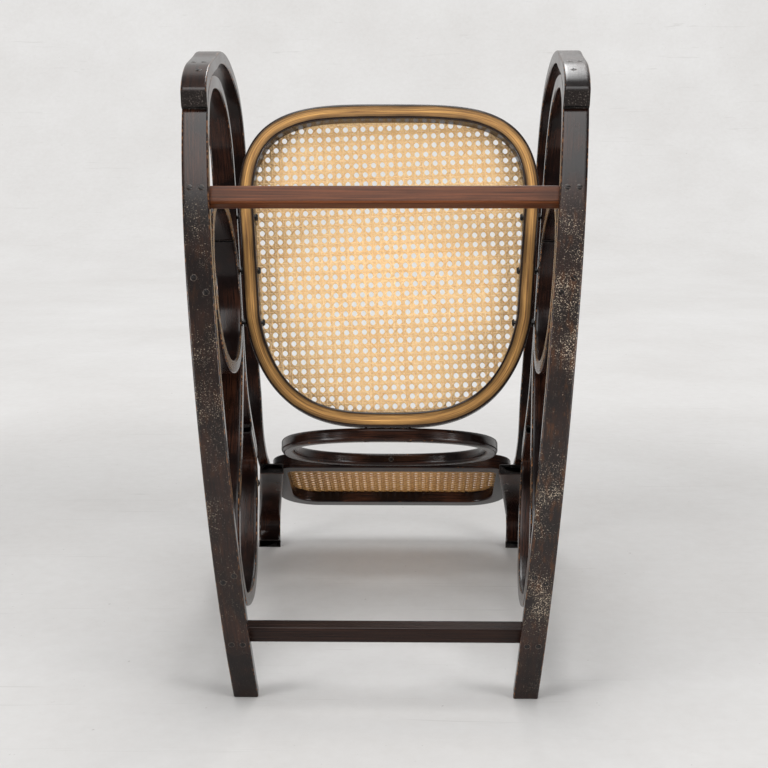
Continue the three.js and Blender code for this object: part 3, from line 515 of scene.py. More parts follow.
def band(name, route, side, faces=both_faces, inner=inner_face, width=BAND_WIDTH, marks=end_grain):
    """A rounded rectangle carried along a route of a side frame. Across the route it reaches from
    the low to the high face, and out of the frame from the inner face by the band's width."""
    section, edge = rounded_section(SQUARE * [BAND, width], BAND_EDGE)
    route, at, drawn_in = stations(route, BAND_EDGE / 2)
    low, high, out = faces(at, route)
    low, high, out = (np.broadcast_to(value, at.shape)[:, None] for value in (low, high, out))
    shrink = 1 - drawn_in[:, None] * 2 / BAND
    across = (low + high) / 2 + (high - low) * (section[:, 0] / BAND - 0.5) * shrink
    deep = out * (width / 2 + (section[:, 1] - width / 2) * (1 - drawn_in[:, None] * 2 / width))
    plane = route[:, None] + left_of(route)[:, None] * across[..., None]
    x = inner(plane[..., 0], plane[..., 1]) + deep
    points = placed(np.stack([side * x, plane[..., 0], plane[..., 1]], axis=-1))
    all_marks = {"edge": edge[None, :], **marks(at, route, section)}
    return skin(name, points, at * MM + grain_start(name), perimeter(section), all_marks, LACQUER)


def grain_start(name):
    """A shift of the grain, different for each piece and the same on every run."""
    return sum((i + 1) * ord(letter) for i, letter in enumerate(name)) % 97 / 10


def ring_piece(name, outline, section, lift, material, marks):
    """A section carried round a closed outline: its first value runs inwards, its second upwards."""
    inward = left_of(outline, True)
    plane = outline[:, None] + inward[:, None] * section[None, :, :1]
    points = lift(plane[..., 0], plane[..., 1], np.broadcast_to(section[:, 1], plane.shape[:2]))
    along = perimeter(outline) + grain_start(name)
    return skin(name, placed(points), along, perimeter(section), marks, material, closed=True)


# Seat, panel and oval, each drawn in a plane of its own


SEAT_MIDDLE = SEAT_FRONT + SEAT_LENGTH / 2
RIM_MIDDLE = float(height_on(between(RAIL, *SEAT_RAIL), SEAT_MIDDLE))


def seat_outline(count=480):
    """A squircle with one power for the front half and one for the rear, whose flanks are planed to
    the rails: its half width is the rail's distance from the middle, less the spacing."""
    turn = np.linspace(0, 2 * np.pi, count, endpoint=False)
    x, y = np.cos(turn), np.sin(turn)
    power = 2 / np.where(y < 0, *SEAT_POWERS)
    along = SEAT_LENGTH / 2 * np.sign(y) * abs(y) ** power
    flank = inner_face(SEAT_MIDDLE + along, RIM_MIDDLE) - SEAT_SPACING
    across = (flank + SEAT_OVER) * np.sign(x) * abs(x) ** power
    return evened(np.stack([np.clip(across, -flank, flank), along], axis=1))


def evened(outline, count=480):
    """The same closed outline with evenly spaced points, its corners slightly relaxed."""
    closed = spaced(np.vstack([outline, outline[:1]]), 1.0)[:-1]
    for _ in range(12):
        closed = (closed + (np.roll(closed, 1, axis=0) + np.roll(closed, -1, axis=0)) / 2) / 2
    return spaced(np.vstack([closed, closed[:1]]), 3.0)[:-1]


def panel_outline():
    """A rectangle with quarter-circle corners, larger at the head than at the foot."""
    half, height = PANEL[0] / 2, PANEL[1]
    foot, head = PANEL_CORNERS
    corners = [(half, 0, foot), (half, height, head), (-half, height, head), (-half, 0, foot)]
    parts = []
    for i, (x, y, r) in enumerate(corners):
        turn = (i - 1 + np.linspace(0, 1, 24)) * np.pi / 2
        centre = np.array([x - np.sign(x) * r, y + (-r if y > 0 else r)])
        parts.append(centre + r * np.stack([np.cos(turn), np.sin(turn)], axis=1))
    return evened(np.vstack(parts))


def lifted(foot, lean, across, up, rear):
    """Puts points of a plane that leans back from its foot into the drawing."""
    up_way, rear_way = leaning(lean)
    along, high = (foot[k] + up * up_way[k] + rear * rear_way[k] for k in range(2))
    return np.stack([across, along, high], axis=-1)


def seat_lift(across, along, up):
    """Leans the seat's plane down to the back about the middle of the rim."""
    return lifted((SEAT_MIDDLE, RIM_MIDDLE), SEAT_LEAN, across, up, along)


def on_panel_line(height):
    low = POST_FOOT - POST_REAR * BAND / 2
    return low + POST_UP * (height - low[1]) / POST_UP[1]


def panel_lift(across, up, rear):
    """Stands the panel's plane on the posts: its depth runs to the rear from the front face."""
    foot = on_panel_line(PANEL_FOOT) - POST_REAR * (FIT + PANEL_RIM[1])
    return lifted(foot, POST_LEAN, across, up, rear)


def oval_place():
    """The oval leans from the seat's rear edge to the panel's foot: its lean and foot are found
    together by repeating until both agree."""
    seat_up, seat_rear = leaning(SEAT_LEAN)
    rear_face = np.array([SEAT_MIDDLE, RIM_MIDDLE]) + seat_rear * SEAT_LENGTH / 2
    rear_face = rear_face + seat_up * (OVAL_RISE + OVAL_CHAMFER - RIM_HEIGHT / 2)
    panel_foot = on_panel_line(PANEL_FOOT) - POST_REAR * (FIT + PANEL_RIM[1] / 2)
    lean = POST_LEAN
    for _ in range(4):
        up, rear = leaning(lean)
        foot = rear_face - up * OVAL_CHAMFER + rear * (FIT + OVAL_BAR / 2)
        lean = math.atan2(panel_foot[0] - foot[0], panel_foot[1] - foot[1])
    room = (panel_foot - foot) @ POST_UP - FIT
    turn = POST_LEAN - lean
    height = (room - (OVAL_BAR / 2 - OVAL_CHAMFER) * math.sin(turn)) / math.cos(turn)
    return foot, lean, height


OVAL_FOOT, OVAL_LEAN, OVAL_HEIGHT = oval_place()


def oval_lift(across, up, rear):
    return lifted(OVAL_FOOT, OVAL_LEAN, across, up, rear)


# Materials


def colour(hex_code):
    """An sRGB hex value as linear red, green, blue and alpha."""
    value = np.array([int(hex_code[i : i + 2], 16) / 255 for i in (0, 2, 4)])
    linear = np.where(value <= 0.04045, value / 12.92, ((value + 0.055) / 1.055) ** 2.4)
    return (*linear.tolist(), 1.0)


def add(material, kind, *inputs, **named):
    """Adds one node. The sockets in use are given in their order, or by name with _ for a space,
    each as a value, an output, or a node, whose first output in use is meant. A name in lower case
    is a setting of the node."""
    made = material.node_tree.nodes.new(f"ShaderNode{kind}")
    for key, value in named.items():
        if key.islower():
            setattr(made, key, value)
    sockets = [s for s in made.inputs if s.enabled]
    given = list(zip(sockets, inputs))
    for key, value in named.items():
        if not key.islower():
            given.append((next(s for s in sockets if s.name == key.replace("_", " ")), value))
    for socket, value in given:
        if isinstance(value, bpy.types.Node):
            value = next(s for s in value.outputs if s.enabled)
        if isinstance(value, bpy.types.NodeSocket):
            material.node_tree.links.new(value, socket)
        else:
            socket.default_value = value
    return made


def new_material(name):
    material = bpy.data.materials.new(name)
    material.use_nodes = True
    material.node_tree.nodes.clear()
    return material


def figure(size):
    """The scale that gives a pattern in metres a figure of this size in mm."""
    return 1 / (size * MM)


def grain_vector(material, along, around):
    """The UV map in metres, divided by the length and the width of the figure to be drawn."""
    uv = add(material, "UVMap", uv_map="grain")
    return add(material, "Mapping", uv, Scale=(figure(along), figure(around), 1.0))


def lacquered_beech():
    """Steam-bent beech under black-brown lacquer: glossy and nearly black where the coat is whole,
    brown where it has thinned, rubbed through to the wood along the edges, with pale scuffs where
    the rockers meet the floor. End grain soaks up the coat and stays rough and black."""
    m = new_material("lacquered_beech")
    place = add(m, "TexCoord").outputs["Object"]
    marked = [add(m, "Attribute", attribute_name=mark) for mark in ("edge", "tip", "floor")]
    edge, tip, floor = (mark.outputs["Fac"] for mark in marked)
    # Cathedral figure of beech, 60 mm long and 2.4 mm wide, under the coat
    grain = add(m, "TexNoise", grain_vector(m, 60, 2.4), 1.0, 5.0, 0.62)
    # Patches of thin coat, about 70 mm across
    patch = add(m, "TexNoise", place, figure(71.43), 3.0)
    thin = add(m, "MapRange", patch, 0.42, 0.68)
    streak = add(m, "MapRange", grain, 0.35, 0.72)
    brown = add(m, "Math", thin, streak, operation="MULTIPLY")
    coat = add(m, "Mix", brown, colour("0f0807"), colour("44271a"), data_type="RGBA")
    # Edge wear, broken up by 6 mm noise
    nibble = add(m, "TexNoise", place, figure(6.25), 3.0)
    rubbed = add(m, "Math", nibble, edge, operation="MULTIPLY")
    rubbed = add(m, "MapRange", rubbed, 0.47, 0.62)
    # Scuffs: pale specks 1 to 2 mm across, in drifts, only on faces that have met the floor
    speck = add(m, "TexNoise", place, figure(1.6129), 2.0, 0.7)
    drift = add(m, "TexNoise", place, figure(90.91), 4.0, Distortion=0.6)
    drift = add(m, "MapRange", drift, 0.45, 0.68, 0.0, 0.15)
    drift = add(m, "Math", drift, floor, operation="MULTIPLY")
    speck = add(m, "Math", speck, drift, operation="ADD")
    scuff = add(m, "MapRange", speck, 0.68, 0.77, 0.0, 0.95)
    scuff = add(m, "Math", scuff, floor, operation="MULTIPLY")
    # Hair scratches, 16 mm long, on the same faces
    scratch = add(m, "TexNoise", grain_vector(m, 16, 0.5), 1.0, 2.0, Distortion=1.5)
    scratch = add(m, "MapRange", scratch, 0.7, 0.76, 0.0, 0.5)
    scratch = add(m, "Math", scratch, floor, operation="MULTIPLY")
    marks = add(m, "Math", scuff, scratch, operation="MAXIMUM")
    # The same faces are dulled to a greyer black
    greyed = add(m, "Math", floor, 0.6, operation="MULTIPLY")
    # Brown patches, 30 mm long and 9 mm wide, where the floor has rubbed the coat thin
    rub = add(m, "TexNoise", grain_vector(m, 30, 9), 1.0, 5.0, 0.7)
    rub = add(m, "MapRange", rub, 0.52, 0.64, 0.0, 0.7)
    most = add(m, "Math", floor, 3.0, operation="POWER")
    rub = add(m, "Math", rub, most, operation="MULTIPLY")
    # Laid over the coat in turn: bare edges, grey, brown patches, scuffs and scratches
    for share, shade in ((rubbed, "7d5434"), (greyed, "282423"), (rub, "4a301f"), (marks, "b8a894")):
        coat = add(m, "Mix", share, coat, colour(shade), data_type="RGBA")
    # Sawn ends, black with pale flecks
    fleck = add(m, "MapRange", speck, 0.6, 0.7)
    sawn = add(m, "Mix", fleck, colour("171210"), colour("6b625c"), data_type="RGBA")
    base = add(m, "Mix", tip, coat, sawn, data_type="RGBA")
    dull = add(m, "Math", floor, 0.14, operation="MULTIPLY")
    gloss = add(m, "MapRange", patch, To_Min=0.13, To_Max=0.3)
    rough = add(m, "Math", gloss, dull, operation="ADD")
    rough = add(m, "Math", rough, tip, operation="MAXIMUM", use_clamp=True)
    bump = add(m, "Bump", 0.12, 0.0004, Height=grain)
    bump = add(m, "Bump", 0.3, 0.0003, Height=marks, Normal=bump)
    look = dict(Base_Color=base, Roughness=rough, Normal=bump, Specular_IOR_Level=0.24)
    add(m, "OutputMaterial", add(m, "BsdfPrincipled", **look))
    return m


def stained_bar(name, light, dark, gloss):
    """A straight sawn bar, stained red-brown under a thin clear coat, so that the long figure of the
    wood shows through as light and dark streaks."""
    m = new_material(name)
    grain = add(m, "TexNoise", grain_vector(m, 130, 2.6), 1.0, 6.0, 0.6, Distortion=0.3)
    streak = add(m, "MapRange", grain, 0.32, 0.68)
    base = add(m, "Mix", streak, colour(dark), colour(light), data_type="RGBA")
    pore = add(m, "TexNoise", grain_vector(m, 7, 0.5), 1.0, 2.0)
    fleck = add(m, "MapRange", pore, 0.58, 0.7, 0.0, 0.45)
    base = add(m, "Mix", fleck, base, colour(dark), data_type="RGBA")
    tip = add(m, "Attribute", attribute_name="tip").outputs["Fac"]
    base = add(m, "Mix", tip, base, colour("1d1310"), data_type="RGBA")
    bump = add(m, "Bump", 0.1, 0.0003, Height=grain)
    look = dict(Base_Color=base, Roughness=gloss, Normal=bump, Specular_IOR_Level=0.18)
    add(m, "OutputMaterial", add(m, "BsdfPrincipled", **look))
    return m


def rim_beech():
    """The seat's rim: lacquered like the bands on top and outside, but left golden-brown and nearly
    bare underneath, with the coat running over both lower edges in a soft dark line."""
    m = new_material("rim_beech")
    under = add(m, "Attribute", attribute_name="under").outputs["Fac"]
    grain = add(m, "TexNoise", grain_vector(m, 110, 1.7), 1.0, 6.0, 0.66, Distortion=0.4)
    streak = add(m, "MapRange", grain, 0.34, 0.66)
    bare = add(m, "Mix", streak, colour("5f3c19"), colour("d6a25c"), data_type="RGBA")
    lap = add(m, "TexNoise", grain_vector(m, 45, 6), 1.0, 3.0)
    lap = add(m, "MapRange", lap, To_Min=-0.25, To_Max=0.25)
    shown = add(m, "Math", under, lap, operation="ADD")
    shown = add(m, "MapRange", shown, 0.2, 0.95)
    base = add(m, "Mix", shown, colour("211611"), bare, data_type="RGBA")
    rough = add(m, "MapRange", shown, To_Min=0.26, To_Max=0.5)
    bump = add(m, "Bump", 0.2, 0.0004, Height=grain)
    add(m, "OutputMaterial", add(m, "BsdfPrincipled", base, Roughness=rough, Normal=bump))
    return m


def rattan_cane(name, young, aged):
    """Split rattan bark: a glossy straw skin with fine fibres along each strand, and some strands
    darker and redder than others with age."""
    m = new_material(name)
    tone = add(m, "Attribute", attribute_name="tone").outputs["Fac"]
    fibre = add(m, "TexNoise", grain_vector(m, 9, 0.35), 1.0, 3.0)
    fibre = add(m, "MapRange", fibre, 0.3, 0.7)
    young = add(m, "Mix", fibre, *map(colour, young), data_type="RGBA")
    aged = add(m, "Mix", fibre, *map(colour, aged), data_type="RGBA")
    base = add(m, "Mix", tone, young, aged, data_type="RGBA")
    bump = add(m, "Bump", 0.25, 0.0002, Height=fibre)
    add(m, "OutputMaterial", add(m, "BsdfPrincipled", base, Roughness=0.42, Normal=bump))
    return m


def blackened_steel():
    """Old steel screws, blackened, with a dull sheen, spots of rust, and a paler ring where the
    lacquer is chipped round the head."""
    m = new_material("blackened_steel")
    place = add(m, "TexCoord").outputs["Object"]
    spot = add(m, "TexNoise", place, figure(1.4286), 3.0)
    spot = add(m, "MapRange", spot, 0.5, 0.7)
    base = add(m, "Mix", spot, colour("0b0a0a"), colour("241a15"), data_type="RGBA")
    edge = add(m, "Attribute", attribute_name="edge").outputs["Fac"]
    base = add(m, "Mix", edge, base, colour("5c5048"), data_type="RGBA")
    rough = add(m, "MapRange", spot, To_Min=0.32, To_Max=0.6)
    add(m, "OutputMaterial", add(m, "BsdfPrincipled", base, Metallic=0.3, Roughness=rough))
    return m


def studio_floor():
    """Pale painted concrete, almost white, with faint clouds and hair scratches. It lets light and
    sight through from behind, because it only stands for the photograph's floor."""
    m = new_material("studio_floor")
    place = add(m, "TexCoord").outputs["Object"]
    cloud = add(m, "TexNoise", place, figure(454.5), 7.0, 0.6)
    fine = add(m, "TexNoise", place, figure(23.81), 6.0, 0.7)
    base = add(m, "Mix", 0.4, cloud, fine, data_type="FLOAT")
    base = add(m, "MapRange", base, 0.3, 0.7)
    base = add(m, "Mix", base, colour("cfcdcb"), colour("dad9d8"), data_type="RGBA")
    # Scratches a third of a metre long and 11 mm apart
    size = (figure(333.33), figure(333.33), figure(11.111))
    lines = add(m, "Mapping", place, Rotation=(0.0, 0.0, 0.7), Scale=size)
    line = add(m, "TexNoise", lines, 1.0, 4.0, Distortion=1.2)
    line = add(m, "MapRange", line, 0.66, 0.74, 0.0, 0.35)
    base = add(m, "Mix", line, base, colour("b9b7b4"), data_type="RGBA")
    # Grit and old paint specks, about 3 mm across, where 9 mm noise peaks
    grit = add(m, "TexNoise", place, figure(9.091), 2.0)
    grit = add(m, "MapRange", grit, 0.75, 0.8, 0.0, 0.5)
    base = add(m, "Mix", grit, base, colour("8f8b86"), data_type="RGBA")
    # Seen straight or mirrored, it is near white by itself, the more so the farther it is
    glow = add(m, "Emission", base, 1.24)
    rays = add(m, "LightPath").outputs
    seen = add(m, "Math", rays["Is Camera Ray"], rays["Is Glossy Ray"], operation="MAXIMUM")
    away = add(m, "VectorMath", place, operation="LENGTH")
    far = add(m, "MapRange", away, 1.1, 2.5, 0.0, 0.92, interpolation_type="SMOOTHSTEP")
    share = add(m, "Math", seen, far, operation="MULTIPLY")
    pale = add(m, "MixShader", share, add(m, "BsdfDiffuse", base), glow)
    behind = add(m, "NewGeometry").outputs["Backfacing"]
    add(m, "OutputMaterial", add(m, "MixShader", behind, pale, add(m, "BsdfTransparent")))
    return m


LACQUER = lacquered_beech()
FRONT_BAR = stained_bar("red_stained_bar", "6a3b20", "341a0c", 0.3)
REAR_BAR = stained_bar("dark_stained_bar", "2b1b15", "150c0a", 0.27)
RIM = rim_beech()
CANE = rattan_cane("rattan_cane", ("cb975a", "f7e0b0"), ("b27c43", "e8c084"))
# A darker copy of the seat's cane for the back panel: painted shade, standing for the shade that the panel
# lies in
PAINTED_SHADE_CANE = rattan_cane("painted_shade_cane", ("a87742", "d4aa70"), ("855527", "b4844b"))
STEEL = blackened_steel()


# Pieces


def settle(piece, slot, *nodes):
    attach(piece, "root")
    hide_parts(*nodes)


def floor_marks(wear, at, route, section):
    """The outer flat of the rocker can meet the floor behind the front stretcher: the mark there is
    the rocker's share of wear, fading out up the tail."""
    outer = smoothstep(section[:, 0], BAND - WORN_FLAT, BAND)[None, :]
    rolled = smoothstep(route[:, 0], *WEAR_START)
    rolled = rolled * (1 - TAIL_WEAR * smoothstep(route[:, 0], *WEAR_END))
    met = wear * (outer * (rolled * (route[:, 1] < WEAR_HEIGHT))[:, None])
    return {"floor": met, **end_grain(at, route, section)}


def arm_faces(at, route):
    """The arm's outer face is cut back to a blunt tip at its lap, and its end is shaved narrow."""
    tip = ARM_BLUNT / BAND + (1 - ARM_BLUNT / BAND) * np.clip(at / ARM_SLANT, 0, 1)
    share = smoothstep(route[:, 0], *ARM_TAPER) * (route[:, 1] > RAIL_HEIGHT)
    return -BAND / 2, -BAND / 2 + BAND * tip, 1 + share * (ARM_END_WIDTH / BAND_WIDTH - 1)


def arm_inner(along, up):
    return inner_face(along, up) + ARM_END_SHIFT * smoothstep(along, *ARM_TAPER) * (up > RAIL_HEIGHT)


def arm_marks(at, route, section):
    """The slanted cut at the arm's lap shows end grain on the outer face."""
    cut = (at < ARM_SLANT)[:, None] * (section[:, 0] > BAND - 1)[None, :]
    return {"tip": np.maximum(cut, np.clip(1 - at / END_GRAIN, 0, 1)[:, None])}


def with_spread(along, up):
    return inner_face(along, up) + tail_spread(along, up)


def loop_faces(at, route):
    """Where the loop's front end runs over the ring, its lower face is scribed away to a thin tip."""
    ring = ring_loop()
    outside = ring - left_of(ring, True) * (BAND / 2 + FIT)
    top = outside[outside[:, 1] > RAIL_HEIGHT / 2]
    room = route[:, 1] - height_on(top, route[:, 0])
    near = (at < LOOP_SCRIBE) & (route[:, 0] < top[:, 0].max())
    low = np.where(near, -np.clip(room, -BAND / 2 + LOOP_TIP, BAND / 2), -BAND / 2)
    return low, BAND / 2, 1.0


def ring_faces(at, scarf_length):
    """The scarf: the band's first stretch grows from a blunt tip on its inner side, and its last
    stretch thins out above it to another, so that both fill one thickness."""
    half, share = BAND / 2, np.clip(at / scarf_length, 0, 1)
    grown = SCARF_BLUNT + share * (BAND - 2 * SCARF_BLUNT - FIT)
    last = np.clip((at - at[-1] + scarf_length) / scarf_length, 0, 1)
    on_last = at > at[-1] - scarf_length
    high = np.where(at < scarf_length, -half + grown, half)
    low = np.where(on_last, -half + SCARF_BLUNT + last * (BAND - 2 * SCARF_BLUNT - FIT) + FIT, -half)
    return low, high, 1.0


def side_pieces(name, side):
    """The five bent bands of one side frame."""
    route, scarf = ring_route()
    scarf_length = travelled(route[: scarf + 1])[-1]

    def worn(at, rocker, section):
        return floor_marks(FLOOR_WEAR[side], at, rocker, section)

    def scarfed(at, ring):
        return ring_faces(at, scarf_length)

    bands = {
        "rocker": dict(route=ROCKER, inner=with_spread, marks=worn),
        "arm": dict(route=arm_route(), inner=arm_inner, faces=arm_faces, marks=arm_marks),
        "front_ring": dict(route=route[::-1], faces=scarfed),
        "rear_loop": dict(route=loop_route(), inner=with_spread, faces=loop_faces),
        "back_post": dict(route=POST, inner=post_inner, width=POST_WIDTH),
    }
    for part, how in bands.items():
        piece = band(f"{name}_{part}_bent", side=side, **how)
        settle(piece, "lacquered_beech", f"{name}_{part}")


def rebated(width, height, radius, rebate_up):
    """A rim's section with the rebate for the cane cut from its inner corner."""
    deep, tall = REBATE
    left, step = width - deep, height - tall
    if rebate_up:
        corners = [(0, 0), (width, 0), (width, step), (left, step), (left, height), (0, height)]
    else:
        corners = [(0, 0), (left, 0), (left, tall), (width, tall), (width, height), (0, height)]
    return rounded_section(corners, min(radius, tall / 2 - 0.1))


def middle_pieces():
    """Seat rim, panel frame and oval ring. The rim is marked bare on its underside, but not near
    that face's two edges."""
    section, edge = rebated(RIM_WIDTH, RIM_HEIGHT, RIM_EDGE, True)
    section[:, 1] -= RIM_HEIGHT / 2
    under = smoothstep(-section[:, 1], RIM_HEIGHT / 2 - BARE_EDGE, RIM_HEIGHT / 2)
    off_middle = abs(section[:, 0] - RIM_WIDTH / 2)
    under *= 1 - smoothstep(off_middle, RIM_WIDTH / 2 - BARE_FROM[1], RIM_WIDTH / 2 - BARE_FROM[0])
    marks = {"edge": edge[None, :], "under": under[None, :]}
    rim = ring_piece("seat_rim_bent", seat_outline(), section, seat_lift, RIM, marks)
    settle(rim, "bare_beech", "seat_rim")
    section, edge = rebated(*PANEL_RIM, PANEL_EDGE, False)
    marks = {"edge": HIGH_WEAR * edge[None, :]}
    panel = ring_piece("back_frame_bent", panel_outline(), section, panel_lift, LACQUER, marks)
    settle(panel, "lacquered_beech", "back_frame")
    section, edge = rounded_section(SQUARE * OVAL_BAR, OVAL_EDGE)
    section[:, 1] -= OVAL_BAR / 2
    oval = superellipse(OVAL_WIDTH / 2, OVAL_HEIGHT / 2, OVAL_POWER, 360) + [0, OVAL_HEIGHT / 2]
    marks = {"edge": HIGH_WEAR * edge[None, :]}
    ring = ring_piece("oval_ring_bent", evened(oval), section, oval_lift, LACQUER, marks)
    settle(ring, "lacquered_beech", "oval_ring")


def stretcher(node, along, material):
    """A straight bar across both rockers, seated on the chord of their upper faces."""
    depth, height = STRETCHER
    ends = np.array([[y, height_on(GROUND_TOP, y)] for y in (along - depth / 2, along + depth / 2)])
    level = unit(ends[1] - ends[0])
    up = np.array([-level[1], level[0]])
    centre = ends.mean(axis=0) + up * (FIT + height / 2)
    half = inner_face(*centre) + BAND_WIDTH - STRETCHER_INSET
    section, edge = rounded_section((SQUARE - 0.5) * STRETCHER, STRETCHER_EDGE)
    route, at, drawn_in = stations(np.array([[-half, 0.0], [half, 0.0]]), STRETCHER_END)
    drawn = section[None] * (1 - drawn_in[:, None, None] * 2 / np.array(STRETCHER))
    plane = centre + drawn[..., :1] * level + drawn[..., 1:] * up
    x = np.broadcast_to(route[:, :1], plane.shape[:2])
    points = placed(np.stack([x, plane[..., 0], plane[..., 1]], axis=-1))
    marks = {"edge": edge[None, :], **end_grain(at, route, section)}
    run = at * MM + grain_start(node)
    piece = skin(f"{node}_bar", points, run, perimeter(section), marks, material)
    settle(piece, "red_brown_stretcher", node)


# Woven cane


def clipped(outline, start, direction):
    """Where a line enters and leaves a convex outline, as distances from its start: each side of the
    outline bounds the line from one end, and the tightest bounds count."""
    a, b = outline, np.roll(outline, -1, axis=0)
    normal = np.stack([-(b - a)[:, 1], (b - a)[:, 0]], axis=1)
    rate, room = normal @ direction, np.sum(normal * (start - a), axis=1)
    with np.errstate(divide="ignore"):
        at = -room / rate
    low = at[rate > 1e-9].max()
    high = at[rate < -1e-9].min()
    return low, high


def crosses(outline, line):
    """Whether the outline reaches more than 1 mm to both sides of a line."""
    start, direction, _ = line
    side = (outline - start) @ np.array([-direction[1], direction[0]])
    return side.min() < -1 and side.max() > 1


def strands(name, node, lines, size, outline, lift, lattice, wave, height, material):
    """Flat ribbons with a domed upper side along straight lines, rising and falling as they weave:
    each one's height is its wave, a function of the place in the lattice."""
    width, thick = size
    profile = STRAND_PROFILE * [width, thick]
    columns = len(profile)
    around = perimeter(profile)
    points, faces, uvs, tones, count = [], [], [], [], 0
    for i, (start, direction, phase) in enumerate(lines):
        low, high = clipped(outline, start, direction)
        if high - low < 2 * width:
            continue
        t = np.linspace(low, high, int((high - low) / STEP) + 2)
        centre = start + t[:, None] * direction
        side = np.array([-direction[1], direction[0]])
        plane = centre[:, None] + side * profile[None, :, :1]
        rise = wave(*lattice(centre).T, phase)[:, None] + profile[None, :, 1] + height
        points.append(lift(plane[..., 0], plane[..., 1], rise).reshape(-1, 3))
        u, v = np.repeat(np.arange(len(t) - 1), columns), np.tile(np.arange(columns), len(t) - 1)
        uvs.append(cell_corners(t * MM + i * GRAIN_SHIFT, around, u, v))
        faces.append(grid_faces(len(t), columns, False) + count)
        tones.append(np.full(len(t) * columns, rng.beta(*TONE_SPREAD)))
        count += len(t) * columns
    flat, cells, uv = placed(np.vstack(points)), np.vstack(faces), np.vstack(uvs)
    if not outwards(flat, cells):
        cells, uv = cells[:, ::-1], uv[:, ::-1]
    mesh = bpy.data.meshes.new(name)
    mesh.from_pydata(flat.tolist(), [], cells.tolist())
    mesh.uv_layers.new(name="grain").data.foreach_set("uv", uv.ravel())
    mesh.attributes.new("tone", "FLOAT", "POINT").data.foreach_set("value", np.concatenate(tones))
    mesh.shade_smooth()
    settle(piece_of(name, mesh, material), "cane", node)


def web(name, outline, lift, pitch, sizes, height, material):
    """Standard cane web: pairs of strands both ways, woven over and under, and binders on both
    diagonals that pass half a step beside each crossing, which leaves eight-sided holes. The heights
    are cosines of the place in the lattice, whose steps are the row and the column."""
    row, column, start = (np.array(pitch[key]) for key in ("row", "column", "start"))
    strand, binder, thick = sizes
    inverse = np.linalg.inv(np.stack([row, column], axis=1))
    half = (strand + STRAND_GAP) / 2

    def lattice(points):
        return (points - start) @ inverse.T

    def pairs(step, run, first, last):
        return [
            (start + (k + 0.5) * step + side * half * unit(step), unit(run), k + (side > 0))
            for k in range(first, last + 1)
            for side in (-1, 1)
        ]

    def diagonals(run, first, last):
        return [(start + (k + 0.5) * row, unit(run), 0) for k in range(first, last + 1)]

    def over(x, y, phase):
        return STRAND_SWING * np.cos(np.pi * (y + 0.5)) * (-1.0) ** phase

    def under(x, y, phase):
        return -STRAND_SWING * np.cos(np.pi * (x + 0.5)) * (-1.0) ** phase

    def above(x, y, phase):
        return BINDER_SWING * np.cos(2 * np.pi * (x + 0.5))

    def below(x, y, phase):
        return -above(x, y, phase)

    corners = lattice(outline)
    low, high = np.floor(corners.min(axis=0)).astype(int), np.ceil(corners.max(axis=0)).astype(int)
    layers = {
        "warp": (pairs(row, column, low[0], high[0]), strand, over),
        "weft": (pairs(column, row, low[1], high[1]), strand, under),
        "rise": (diagonals(row + column, low[0] - high[1], high[0] - low[1]), binder, above),
        "fall": (diagonals(row - column, low[0] + low[1], high[0] + high[1]), binder, below),
    }
    for layer, (lines, width, wave) in layers.items():
        lines = [line for line in lines if crosses(outline, line)]
        size = (width, thick)
        strands(f"{name}_{layer}", name, lines, size, outline, lift, lattice, wave, height, material)


def inset(outline, distance):
    return outline + left_of(outline, True) * distance


def cane_pieces():
    """The web and its spline in the seat's rim, and the same in the back panel, whose web is in a darker
    copy of the cane that is painted shade.
    """
    seat_edge = inset(seat_outline(), RIM_WIDTH - REBATE[0] + FIT)
    panel_edge = inset(panel_outline(), PANEL_RIM[0] - REBATE[0] + FIT)
    floor = RIM_HEIGHT / 2 - REBATE[1] + FIT + CANE_THICKNESS / 2
    front = REBATE[1] - FIT - CANE_THICKNESS / 2

    def turned_lift(across, up, rear):
        """The panel's web shows its domed side to the front."""
        return panel_lift(across, up, 2 * front - rear)

    web("seat_cane", seat_edge, seat_lift, SEAT_WEB, SEAT_STRANDS, floor, CANE)
    web("back_cane", panel_edge, turned_lift, PANEL_WEB, PANEL_STRANDS, front, PAINTED_SHADE_CANE)
    section, edge = rounded_section(SQUARE * SPLINE, SPLINE_EDGE)
    beads = (
        ("seat_spline", seat_edge, seat_lift, RIM_HEIGHT / 2 - REBATE[1] + 2 * FIT + CANE_THICKNESS),
        ("back_spline", panel_edge, panel_lift, REBATE[1] - 2 * FIT - CANE_THICKNESS - SPLINE[1]),
    )
    for node, outline, lift, high in beads:
        marks = {"edge": edge[None, :]}
        bead = ring_piece(f"{node}_bead", outline, section + [0, high], lift, CANE, marks)
        settle(bead, "cane", node)


# Screws


